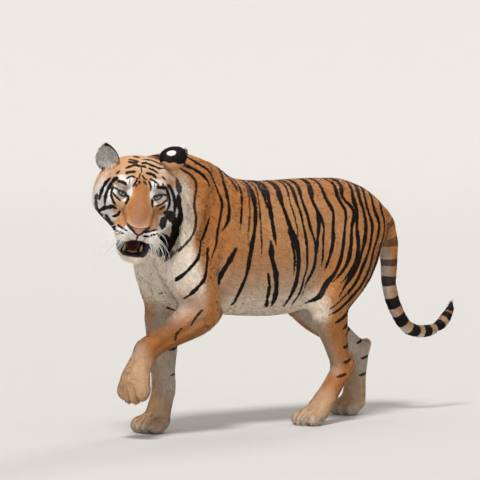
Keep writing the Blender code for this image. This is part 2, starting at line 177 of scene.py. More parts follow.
# The masses of the head, in head coordinates, metres.
headForm = {
    "face": [(0, 0.120, 0.005, 0.098, 0.085, 0.100), (0, 0.080, 0.000, 0.110, 0.095, 0.120),
             (0, 0.040, 0.000, 0.106, 0.086, 0.120), (0, 0.010, -0.005, 0.094, 0.066, 0.110),
             (0, -0.016, -0.020, 0.073, 0.050, 0.090), (0, -0.042, -0.036, 0.053, 0.042, 0.070),
             (0, -0.074, -0.058, 0.043, 0.036, 0.050), (0, -0.102, -0.078, 0.040, 0.028, 0.036),
             (0, -0.124, -0.086, 0.035, 0.019, 0.026)],
    "ruff": [(0, 0.015, -0.060, 0.070, 0.070, 0.080), (0, 0.045, -0.060, 0.122, 0.110, 0.120),
             (0, 0.080, -0.058, 0.146, 0.136, 0.142), (0, 0.115, -0.050, 0.140, 0.136, 0.138),
             (0, 0.150, -0.040, 0.118, 0.115, 0.120), (0, 0.175, -0.035, 0.080, 0.080, 0.080)],
    "snout": [(0, 0.045, -0.070, 0.108, 0.080, 0.090), (0, 0.010, -0.080, 0.094, 0.068, 0.074),
              (0, -0.020, -0.088, 0.080, 0.054, 0.058), (0, -0.048, -0.096, 0.071, 0.040, 0.044),
              (0, -0.076, -0.102, 0.066, 0.029, 0.030), (0, -0.100, -0.105, 0.056, 0.021, 0.022),
              (0, -0.117, -0.105, 0.038, 0.014, 0.015)],
    "jaw": [(0, 0.060, -0.150, 0.098, 0.040, 0.058), (0, 0.010, -0.166, 0.080, 0.030, 0.050),
            (0, -0.030, -0.178, 0.062, 0.022, 0.040), (0, -0.066, -0.187, 0.051, 0.015, 0.031),
            (0, -0.096, -0.193, 0.040, 0.012, 0.023)],
    "chin": ((0, -0.084, -0.194), (0.044, 0.025, 0.024)),
    "whiskerPad": ((0.038, -0.084, -0.106), (0.036, 0.044, 0.028), (12, 0, 14)),
    "cheekBone": ((0.060, 0.044, -0.040), (0.056, 0.076, 0.056), (0, 0, 0)),
    "brow": ((0.054, 0.006, 0.036), (0.030, 0.026, 0.016), (0, 15, 0)),
    "rightCheek": {"share": 0.32, "fall": (-0.095, -0.165), "rear": (-0.045, 0.010)},
}

# The right ear faces the way the head looks; the left one is turned back and shows its back.
earForm = {
    "right": {"root": (-0.108, 0.088, 0.052), "along": (-0.26, 0.05, 0.95), "opening": (-0.35, -0.93, 0.0)},
    "left": {"root": (0.084, 0.100, 0.086), "along": (0.80, 0.36, 0.44), "opening": (0.35, 0.78, -0.55)},
    "halfWidth": 0.0415, "halfHeight": 0.0475, "middle": 0.027, "cup": 0.019, "wall": 0.0065,
}

skinForm = {
    "voxel": 0.0054,
    "bodyRounds": 26,       # smoothing of the trunk and legs
    "endRounds": 4,         # of the whole animal, head and paws too
    # the trunk's smoothing fades out near the head and the lifted paw (middle, far, near), towards the
    # floor (z) and along the tail (y)
    "headKept": ((0, 0.02, -0.05), 0.24, 0.17), "liftedKept": ((0.120, -0.665, 0.18), 0.13, 0.08),
    "floorKept": (0.14, 0.07), "tailKept": (0.58, 0.64),
    # places cut twice as fine: the middle in head coordinates, and the reach round it
    "fine": [((0, 0.02, -0.06), 0.185), ((0, -0.05, -0.05), 0.105)],
    "pawReach": 0.095,
}
# The ball of each foot, the middle of its toes, and half its width.
paws = {
    "foreLeft": {"ball": (0.120, -0.660, 0.225), "toes": (0.120, -0.672, 0.160), "half": 0.066},
    "foreRight": {"ball": (-0.068, -0.405, 0.040), "toes": (-0.062, -0.462, 0.024), "half": 0.066},
    "hindLeft": {"ball": (0.105, 0.190, 0.040), "toes": (0.103, 0.132, 0.020), "half": 0.059},
    "hindRight": {"ball": (-0.100, 0.560, 0.044), "toes": (-0.098, 0.500, 0.020), "half": 0.059},
}
# A toe's size and spacing as shares of that half width, and how far the outer toes are set back, in metres.
toeForm = {"spacing": 0.50, "radii": (0.30, 0.54, 0.44), "setBack": 0.012, "forward": 0.004}
toeOrder = (-1.5, -0.5, 0.5, 1.5)
fleshNodes = sorted(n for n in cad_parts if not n.startswith("eye"))
bodyNodes = [n for n in fleshNodes if n not in ("head", "lower_jaw", "nose", "tongue", "ear_left", "ear_right")]


def turned(along, towards):
    # a rotation with +Z along the first direction and -Y as near as can be to the second
    z = Vector(along).normalized()
    y = -(Vector(towards) - Vector(towards).dot(z) * z).normalized()
    return Matrix((y.cross(z), y, z)).transposed().to_4x4()


def pawFrame(paw):
    ball, toes = Vector(paw["ball"]), Vector(paw["toes"])
    along = (toes - ball).normalized()
    side = Vector((1, 0, 0))
    return ball, toes, along, side, side.cross(along)


def pawMasses():
    # four round toes to each foot, as full as the solids allow
    masses = []
    for paw in paws.values():
        ball, toes, along, side, top = pawFrame(paw)
        half = paw["half"]
        turn = [math.degrees(a) for a in Matrix((side, along, top)).transposed().to_euler()]
        for k in toeOrder:
            aside, back = k * half * toeForm["spacing"], toeForm["setBack"] * abs(k) - toeForm["forward"]
            masses.append(ellipsoid(toes + side * aside - along * back, [half * r for r in toeForm["radii"]], turn))
    return masses


def rawFlesh():
    # the body's own solids and the masses of the head, one inside another
    bm = bmesh.new()
    for name in bodyNodes:
        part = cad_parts[name].data.copy()
        part.transform(Matrix.Translation(-shift))
        bm.from_mesh(part)
        bpy.data.meshes.remove(part)
    form = headForm
    masses = [loft(form[name], 2.3 if name == "ruff" else 2.2) for name in ("face", "ruff", "snout", "jaw")]
    masses.append(ellipsoid(*form["chin"]))
    for name in ("whiskerPad", "cheekBone", "brow"):
        (x, y, z), radii, (ax, ay, az) = form[name]
        masses.append(ellipsoid((x, y, z), radii, (ax, ay, az)))
        masses.append(ellipsoid((-x, y, z), radii, (ax, -ay, -az)))
    # the turned head presses the ruff against the neck on its left and draws it thin under its right cheek
    slim = form["rightCheek"]
    for mass in masses:
        for v in mass.verts:
            if v.co.x < 0:
                v.co.x *= 1 - slim["share"] * float(ramp(v.co.z, *slim["fall"]) * ramp(v.co.y, *slim["rear"]))
        bmesh.ops.transform(mass, matrix=headMatrix, verts=mass.verts)
    for mass in masses + pawMasses():
        mesh = bpy.data.meshes.new("mass")
        mass.to_mesh(mesh)
        mass.free()
        bm.from_mesh(mesh)
        bpy.data.meshes.remove(mesh)
    mesh = bpy.data.meshes.new("skin")
    bm.to_mesh(mesh)
    bm.free()
    return mesh


def neighbourMean(edges, count, values, weight, rounds):
    # moves each row of values towards the mean of its neighbours, by weight
    degree = np.bincount(edges.ravel(), minlength=count)[:, None].clip(1)
    a, b = edges.T
    for _ in range(rounds):
        total = np.stack([np.bincount(a, values[b, k], count) + np.bincount(b, values[a, k], count)
                          for k in range(values.shape[1])], axis=1)
        values = values + weight * (total / degree - values)
    return values


def edgesOf(mesh):
    flat = np.zeros(len(mesh.edges) * 2, np.int32)
    mesh.edges.foreach_get("vertices", flat)
    return flat.reshape(-1, 2)


def refine(mesh, centre, reach):
    # cuts the faces near a place in four and eases what is new
    bm = bmesh.new()
    bm.from_mesh(mesh)
    chosen = {e for f in bm.faces if (f.calc_center_median() - centre).length < reach for e in f.edges}
    bmesh.ops.subdivide_edges(bm, edges=list(chosen), cuts=1, use_grid_fill=True)
    bm.to_mesh(mesh)
    bm.free()
    points = vertexRows(mesh, "co")
    near = ramp(np.linalg.norm(points - np.array(centre), axis=1), reach, reach * 0.8)[:, None]
    setCoordinates(mesh, neighbourMean(edgesOf(mesh), len(points), points, 0.5 * near, 3))


def buildSkin():
    obj = placed("skin", rawFlesh())
    remesh = obj.modifiers.new("fuse", "REMESH")
    remesh.mode = "VOXEL"
    remesh.voxel_size = skinForm["voxel"]
    graph = bpy.context.evaluated_depsgraph_get()
    mesh = bpy.data.meshes.new_from_object(obj.evaluated_get(graph))
    obj.modifiers.clear()
    obj.data = mesh
    points = vertexRows(mesh, "co")
    edges = edgesOf(mesh)
    (head, *headReach), (lifted, *liftedReach) = skinForm["headKept"], skinForm["liftedKept"]
    kept = np.maximum.reduce([
        ramp(np.linalg.norm(toHead(points) - head, axis=1), *headReach),
        ramp(np.linalg.norm(points - lifted, axis=1), *liftedReach),
        ramp(points[:, 2], *skinForm["floorKept"]), ramp(points[:, 1], *skinForm["tailKept"])])
    points = neighbourMean(edges, len(points), points, 0.6 * (1 - kept)[:, None], skinForm["bodyRounds"])
    points = neighbourMean(edges, len(points), points, 0.5, skinForm["endRounds"])
    setCoordinates(mesh, points)
    for middle, reach in skinForm["fine"]:
        refine(mesh, headMatrix @ Vector(middle), reach)
    for paw in paws.values():
        refine(mesh, Vector(paw["ball"]).lerp(Vector(paw["toes"]), 0.6), skinForm["pawReach"])
    return obj


# Small forms pressed into or raised on the head: centre, radii and push, in head coordinates.
# Those marked True are made on both sides.
headDabs = {
    "socket": ((0.058, -0.024, 0.004), (0.028, 0.030, 0.020), (0, 0.0060, 0), True),
    "tearCorner": ((0.0385, -0.036, -0.006), (0.010, 0.022, 0.013), (0, 0.0060, 0), True),
    "browRidge": ((0.055, -0.018, 0.031), (0.024, 0.022, 0.009), (0, -0.0050, 0.001), True),
    "underEye": ((0.064, -0.014, -0.024), (0.024, 0.022, 0.010), (0, -0.0030, 0), True),
    "noseTop": ((0, -0.118, -0.066), (0.032, 0.020, 0.010), (0, -0.0035, 0.001), False),
    "noseTip": ((0, -0.126, -0.086), (0.020, 0.014, 0.012), (0, -0.0040, 0), False),
    "nostril": ((0.0190, -0.126, -0.0815), (0.0062, 0.020, 0.0050), (0, 0.0110, 0.001), True),
    "nostrilWing": ((0.0285, -0.118, -0.0775), (0.0075, 0.020, 0.0028), (0, 0.0055, 0), True),
    "alarFold": ((0.0360, -0.108, -0.082), (0.0035, 0.020, 0.012), (0, 0.0030, 0), True),
    "philtrum": ((0, -0.122, -0.111), (0.0024, 0.022, 0.013), (0, 0.0060, 0), False),
    "palate": ((0, -0.058, -0.130), (0.027, 0.046, 0.022), (0, 0, 0.0150), False),
    "jawFloor": ((0, -0.046, -0.164), (0.026, 0.048, 0.020), (0, 0, -0.0100), False),
    "lipEdge": ((0.040, -0.070, -0.130), (0.016, 0.030, 0.008), (0.002, 0, -0.0040), True),
    "foreheadHollow": ((0, -0.012, 0.045), (0.012, 0.03, 0.030), (0, 0.0025, 0), False),
    "cheekHollow": ((0.078, -0.020, -0.060), (0.020, 0.025, 0.022), (-0.004, 0.0030, 0), True),
}

# Folds and swellings of the trunk and legs as seen from the side: y, z points, the side or both,
# reach across, and height (negative for a fold).
bodyFolds = {
    "behindElbow": ([(-0.285, 0.66), (-0.300, 0.54), (-0.300, 0.45)], (1,), 0.020, -0.010),
    "behindElbowRight": ([(-0.255, 0.62), (-0.262, 0.50), (-0.270, 0.42)], (-1,), 0.020, -0.010),
    "bladeFront": ([(-0.40, 0.90), (-0.45, 0.78), (-0.50, 0.66)], (1, -1), 0.030, -0.006),
    "bladeRidge": ([(-0.31, 0.93), (-0.37, 0.82), (-0.43, 0.72)], (1, -1), 0.026, 0.006),
    "tricepsHollow": ([(-0.33, 0.80), (-0.31, 0.70)], (1, -1), 0.045, -0.007),
    "flankFold": ([(0.100, 0.52), (0.125, 0.46), (0.150, 0.41)], (1, -1), 0.022, -0.010),
    "thighFront": ([(0.235, 0.60), (0.190, 0.50), (0.180, 0.42)], (1, -1), 0.050, 0.008),
    "hamstring": ([(0.470, 0.62), (0.400, 0.50), (0.350, 0.40)], (1, -1), 0.030, -0.006),
    "hipBone": ([(0.300, 0.835), (0.350, 0.825)], (1, -1), 0.035, 0.006),
    "loin": ([(0.120, 0.70), (0.180, 0.62), (0.160, 0.52)], (1, -1), 0.045, -0.007),
    "lastRib": ([(-0.02, 0.74), (0.04, 0.62), (0.03, 0.50)], (1, -1), 0.030, 0.003),
    "forearmGroove": ([(-0.420, 0.405), (-0.520, 0.352), (-0.590, 0.318)], (1,), 0.014, -0.005),
    "heelGroove": ([(0.300, 0.300), (0.320, 0.225)], (1,), 0.014, -0.006),
}


def nearLine(points, line, steps=6):
    # distance from each point to a smoothed polyline, and how far along it (0 to 1) the nearest place is
    line = smoothRows(line, steps)
    best = np.full(len(points), 9.0)
    share = np.zeros(len(points))
    count = len(line) - 1
    for i in range(count):
        a, b = line[i], line[i + 1]
        ab = b - a
        t = np.clip(((points - a) @ ab) / max(ab @ ab, 1e-12), 0, 1)
        d = np.linalg.norm(points - a - t[:, None] * ab, axis=1)
        closer = d < best
        best[closer] = d[closer]
        share[closer] = ((i + t) / count)[closer]
    return best, share


def sculpt(mesh):
    points = vertexRows(mesh, "co")
    normals = vertexRows(mesh, "normal")
    for line, sides, reach, height in bodyFolds.values():
        distance, _ = nearLine(points[:, 1:], line)
        bump = height * np.exp(-(distance / reach) ** 2)
        for side in sides:
            rise = bump * ramp(side * points[:, 0], 0.03, 0.07) * ramp(side * normals[:, 0], 0.1, 0.5)
            points += rise[:, None] * normals
    # grooves between the toes
    for paw in paws.values():
        _, toes, along, side, _ = pawFrame(paw)
        near = np.linalg.norm(points - np.array(toes), axis=1) < 0.12
        local = points[near] - np.array(toes)
        across, ahead = local @ np.array(side), local @ np.array(along)
        for k in (-1, 0, 1):
            aside = across - k * paw["half"] * toeForm["spacing"]
            depth = 0.0075 * np.exp(-(aside / 0.0042) ** 2) * ramp(ahead, -0.035, -0.005)
            points[near] -= depth[:, None] * normals[near]
    local = toHead(points)
    for centre, radii, push, both in headDabs.values():
        for side in (1, -1) if both else (1,):
            mirrored = np.array([side, 1, 1])
            gap = (local - np.array(centre) * mirrored) / np.array(radii)
            weight = np.exp(-(gap ** 2).sum(axis=1))
            local += weight[:, None] * (np.array(push) * mirrored)
    # the lids lie over the eyeballs
    for side in (1, -1):
        eye = np.array([side * headPlace["eyeSpacing"], headPlace["eyeDepth"], 0])
        away = local - eye
        distance = np.linalg.norm(away, axis=1)
        lid = headPlace["eyeRadius"] + 0.0022
        inside = (distance < lid) & (away[:, 1] < 0.004)
        local[inside] = eye + away[inside] / distance[inside, None] * lid
    setCoordinates(mesh, fromHead(local))


def earMatrix(name):
    place = earForm[name]
    return headMatrix @ Matrix.Translation(place["root"]) @ turned(place["along"], place["opening"])


def earCup(name):
    # a cupped disc: its back bulges, its inside is hollow, and they meet at the rim
    form, matrix = earForm, earMatrix(name)
    rounds, spokes = 12, 40
    verts, faces = [], []
    for layer, depth in enumerate((form["cup"], form["cup"] - form["wall"])):
        for i in range(rounds + 1):
            r = (i / rounds) ** 0.8
            for k in range(spokes):
                angle = 2 * math.pi * k / spokes
                x = form["halfWidth"] * r * math.cos(angle) * (1 - 0.10 * math.sin(angle) * r)
                z = form["middle"] + form["halfHeight"] * r * math.sin(angle)
                y = depth * math.sqrt(max(1 - r * r, 0)) - 0.010 * r * r * abs(math.cos(angle)) + 0.004
                verts.append(matrix @ Vector((x, y + (0.0016 if layer == 0 else -0.0016) * r, z)))
    ring = lambda layer, i, k: (layer * (rounds + 1) + i) * spokes + k % spokes
    for layer in (0, 1):
        for i in range(rounds):
            for k in range(spokes):
                quad = (ring(layer, i, k), ring(layer, i + 1, k), ring(layer, i + 1, k + 1), ring(layer, i, k + 1))
                faces.append(quad if layer == 1 else quad[::-1])
    for k in range(spokes):
        faces.append((ring(0, rounds, k), ring(1, rounds, k), ring(1, rounds, k + 1), ring(0, rounds, k + 1))[::-1])
    return verts, faces


def addEars(mesh):
    bm = bmesh.new()
    bm.from_mesh(mesh)
    for name in ("right", "left"):
        verts, faces = earCup(name)
        made = [bm.verts.new(v) for v in verts]
        for face in faces:
            bm.faces.new([made[i] for i in face])
        bmesh.ops.remove_doubles(bm, verts=made, dist=0.0003)
    bm.normal_update()
    bm.to_mesh(mesh)
    bm.free()


skin = buildSkin()
sculpt(skin.data)
addEars(skin.data)
print("skin:", len(skin.data.vertices), "vertices")


# Which solid each place of the skin belongs to.
def nearestNode(points):
    verts, polygons, owner = [], [], []
    for k, name in enumerate(fleshNodes):
        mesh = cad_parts[name].data
        start = len(verts)
        verts += [v.co - shift for v in mesh.vertices]
        for polygon in mesh.polygons:
            polygons.append([start + i for i in polygon.vertices])
            owner.append(k)
    tree = BVHTree.FromPolygons(verts, polygons)
    return np.array([owner[tree.find_nearest(Vector(p))[2]] for p in points])


tailPath = [(0.520, 0.740), (0.590, 0.705), (0.625, 0.635), (0.632, 0.550), (0.630, 0.470), (0.660, 0.385),
            (0.715, 0.315), (0.790, 0.293), (0.865, 0.305), (0.915, 0.345), (0.938, 0.395)]

# Rings of the tail, in metres: from one to the next, half a ring at the root, how much more at the tip and how
# much it wavers; and the share of the tail where the black tip begins.
tailRings = {"spacing": 0.066, "half": 0.0125, "wider": 0.006, "waver": 0.003, "blackTip": 0.93}

# The lie of the coat (as x, y, z), how long the hairs are, and how deep the coat is, in mm, by solid.
coatLie = {
    "belly": ((0, 1, -0.20), 17, 6), "chest": ((0, 0.9, -0.35), 17, 6), "rump": ((0, 0.95, -0.35), 18, 6),
    "neck": ((-0.40, 0.85, -0.38), 24, 8),
    "fore_left_upper": ((0.02, 0.35, -0.9), 15, 5), "fore_right_upper": ((0, 0.25, -1), 15, 5),
    "fore_left_forearm": ((0, -0.85, -0.55), 12, 4), "fore_right_forearm": ((0.1, 0.02, -1), 12, 4),
    "fore_left_paw": ((0, -0.35, -0.9), 8, 2.5), "fore_right_paw": ((0.1, -0.8, -0.5), 8, 2.5),
    "hind_left_thigh": ((0, 0.35, -0.95), 16, 5), "hind_right_thigh": ((0, 0.50, -0.85), 16, 5),
    "hind_left_shank": ((0, 0.25, -0.95), 13, 4), "hind_right_shank": ((0, 0.75, -0.65), 13, 4),
    "hind_left_foot": ((0, -0.6, -0.8), 8, 2.5), "hind_right_foot": ((0, -0.25, -0.95), 8, 2.5),
    "tail_root": ((0, 0.6, -0.8), 18, 6), "tail_middle": ((0, 0, -1), 18, 6), "tail_tip": ((0, 1, 0), 20, 6),
    "head": ((0, 0, 1), 6, 2.5), "lower_jaw": ((0, 1, 0), 8, 2.5), "nose": ((0, 0, 1), 3, 1),
    "tongue": ((0, 1, 0), 3, 1), "ear_left": ((0, 0, 1), 9, 1.5), "ear_right": ((0, 0, 1), 9, 1.5),
}
headNodes = ("head", "lower_jaw", "nose", "tongue")
tailNodes = ("tail_root", "tail_middle", "tail_tip")


def earLocal(name, points):
    # places as seen from the root of an ear, and the matrix that puts them back
    matrix = earMatrix(name)
    return moved(points, matrix.inverted()), np.array(matrix)


def earRadius(local):
    # 0 in the middle of the ear's disc, 1 at its rim
    return np.linalg.norm((local[:, [0, 2]] - (0, earForm["middle"])) / (earForm["halfWidth"],
                          earForm["halfHeight"]), axis=1)


class Places:
    # everything that is known of a set of places on the animal
    def __init__(self, points, normals, node):
        self.points, self.normals, self.node = points, normals, node
        self.head = toHead(points)
        self.headNormals = normals @ np.array(headMatrix.to_3x3())

    def on(self, *names):
        return np.isin(self.node, [fleshNodes.index(n) for n in names])


# The bare nose: a wedge that narrows downwards to its point; slope is its side's rise over its run.
noseForm = {"point": -0.0985, "slope": 0.64, "square": 0.84, "top": -0.0690, "halfWidth": 0.039, "rear": -0.070}


def noseDepth(head):
    # how far inside the bare nose a place is, in metres
    x, z = np.abs(head[:, 0]), head[:, 2]
    side = (z - (noseForm["point"] + noseForm["slope"] * x)) * noseForm["square"]
    top = noseForm["top"] + 0.10 * x - z
    inside = np.minimum.reduce([side, top, noseForm["halfWidth"] - x])
    return np.where(head[:, 1] < noseForm["rear"], inside, -0.02)


def eyeCentre(side):
    return side * headPlace["eyeSpacing"], headPlace["eyeDepth"], 0


def eyePlane(head, side):
    # places seen along the way an eye looks: along its slant, and up from it, in metres
    across, rise, look = (np.array(v) for v in eyeAxes(side))
    away = head - np.array(eyeCentre(side))
    return away @ across, away @ rise, away @ look


eyeForm = {
    "look": (-0.140, -0.895, 0.423),   # both eyes look the same way, in head coordinates
    "slant": 26, "halfLength": 0.0170, "upper": 0.0066, "lower": 0.0080,
    "iris": 0.0106, "cornea": 0.0012, "rim": 0.0028,
}


def eyeAxes(side):
    look = Vector(eyeForm["look"]).normalized()
    across = Vector((side, 0, 0))
    across = (across - across.dot(look) * look).normalized()
    rise = (up - up.dot(look) * look).normalized()
    slant = math.radians(eyeForm["slant"])
    return (across * math.cos(slant) + rise * math.sin(slant), rise * math.cos(slant) - across * math.sin(slant),
            look)


def facePlane(head):
    # places as seen along the way the eyes look: x across the face, y up it
    look = Vector(eyeForm["look"]).normalized()
    across = (Vector((1, 0, 0)) - look.x * look).normalized()
    return np.column_stack([head @ np.array(across), head @ np.array(look.cross(across))])


def lidLine(t):
    # upper and lower edge of the opening at t, from -1 at the inner corner to 1 at the outer
    bow = np.clip(1 - np.abs(t) ** 2.2, 0, 1) ** 0.8
    return eyeForm["upper"] * bow, -eyeForm["lower"] * bow


def lidGap(head):
    # metres outside the nearer eye opening, negative inside it
    best = np.full(len(head), 0.05)
    for side in (1, -1):
        a, b, ahead = eyePlane(head, side)
        t = a / eyeForm["halfLength"]
        high, low = lidLine(t)
        gap = np.maximum.reduce([b - high, low - b, np.abs(a) - eyeForm["halfLength"]])
        best = np.where((ahead > 0) & (gap < best), gap, best)
    return best


# Where the mouth's inside ends, in head coordinates: each pair runs from outside it to inside it, but
# the parting runs from its floor to its roof.
mouthForm = {"side": (0.056, 0.050), "floor": (-0.190, -0.186), "top": (-0.112, -0.117), "rear": (0.05, 0.03),
             "parting": (-0.150, -0.142)}


def mouthParts(head, normals):
    # the inside of the mouth, which the skin's material paints dark as shade, and the lips round it
    x, y, z = np.abs(head[:, 0]), head[:, 1], head[:, 2]
    form = mouthForm
    roof = ramp(normals[:, 2], -0.25, -0.55) * ramp(z, *form["parting"])
    ground = ramp(normals[:, 2], 0.25, 0.50) * ramp(z, *form["parting"][::-1])
    inside = np.maximum(roof, ground) * ramp(x, *form["side"]) * ramp(z, *form["floor"]) * ramp(z, *form["top"])
    inside *= ramp(y, *form["rear"])
    upperLip = ramp(np.abs(z + 0.125 + 0.15 * np.abs(x - 0.028)), 0.0075, 0.0045) * ramp(y, -0.02, -0.04)
    lowerLip = ramp(np.abs(z + 0.1735), 0.0105, 0.0075) * ramp(x, 0.060, 0.052) * ramp(y, 0.02, 0.0)
    return inside, np.maximum(upperLip, lowerLip)


def alongTail(points):
    # 0 at the root of the tail, 1 at its tip
    return nearLine(points[:, 1:], tailPath, 4)[1]


def coatFields(place):
    # lie, length and depth of the coat at each place
    count = len(place.points)
    lie, length, depth = np.zeros((count, 3)), np.zeros(count), np.zeros(count)
    for k, name in enumerate(fleshNodes):
        here = place.node == k
        direction, hair, thick = coatLie[name]
        lie[here], length[here], depth[here] = direction, hair / 1000, thick / 1000
    tail = place.on(*tailNodes)
    line, share = smoothRows(tailPath, 4), alongTail(place.points[tail])
    step = np.clip((share * (len(line) - 1)).astype(int), 0, len(line) - 2)
    lie[tail, 1:] = line[step + 1] - line[step]
    lie[tail, 0] = 0
    # underneath, the hair is longer
    under = place.on("belly", "chest") & (place.normals[:, 2] < -0.2)
    length[under] += 0.006 * ramp(-place.normals[under, 2], 0.2, 0.8)
    depth[under] += 0.002 * ramp(-place.normals[under, 2], 0.2, 0.8)
    # the head: hair runs out from the nose, and grows long in the ruff and under the chin
    onHead = place.on(*headNodes)
    head = place.head[onHead]
    x, y, z = head.T
    out = head - np.array((0, -0.185, -0.060))
    out[:, 2] -= 0.04 * ramp(np.abs(x), 0.05, 0.11)
    out[:, 1] += 0.10 * ramp(y, 0.0, 0.07)
    side = np.maximum(ramp(np.abs(x), 0.070, 0.115) * ramp(z, 0.100, 0.040), ramp(z, -0.085, -0.125))
    rear = ramp(y, 0.020, 0.085)
    lie[onHead] = out / np.linalg.norm(out, axis=1)[:, None] @ np.array(headMatrix.to_3x3()).T
    length[onHead] = 0.0045 + 0.0030 * ramp(y, -0.09, -0.01) + 0.004 * rear + 0.010 * rear * side
    chin = ramp(z, -0.172, -0.190) * ramp(y, 0.02, -0.02)
    length[onHead] += 0.003 * chin
    depth[onHead] = 0.0014 + 0.0011 * ramp(y, -0.06, 0.0) + 0.001 * rear + 0.003 * rear * side
    gap = lidGap(head)
    inside, lips = mouthParts(head, place.headNormals[onHead])
    bare = np.maximum.reduce([ramp(noseDepth(head), -0.0015, 0.0005), ramp(gap, 0.0030, 0.0015), inside,
                              0.9 * lips])
    depth[onHead] *= 1 - bare
    length[onHead] *= 1 - 0.55 * ramp(gap, 0.010, 0.003)
    naked = np.zeros(count)
    naked[onHead] = bare
    # the ears: short hair to the tips behind, long pale hair across the hollow
    for name in ("right", "left"):
        here = place.on("ear_" + name)
        local, matrix = earLocal(name, place.points[here])
        normal = place.normals[here] @ matrix[:3, :3]
        hollow = normal[:, 1] < -0.1
        rise = matrix[:3, 2] * 0.9 + matrix[:3, 0] * local[:, :1] * 8
        span = np.where(hollow, 0.017, 0.006) * np.where(earRadius(local) > 0.88, 0.6, 1)
        length[here], depth[here] = span, 0.0005
        # hairs of the inner edge reach over the hollow
        medial = matrix[:3, 0] * (-np.sign(local[:, :1]))
        lie[here] = np.where(hollow[:, None], medial * 0.8 + matrix[:3, 2] * 0.5 - matrix[:3, 1] * 0.25, rise)
    return lie, length, depth, naked


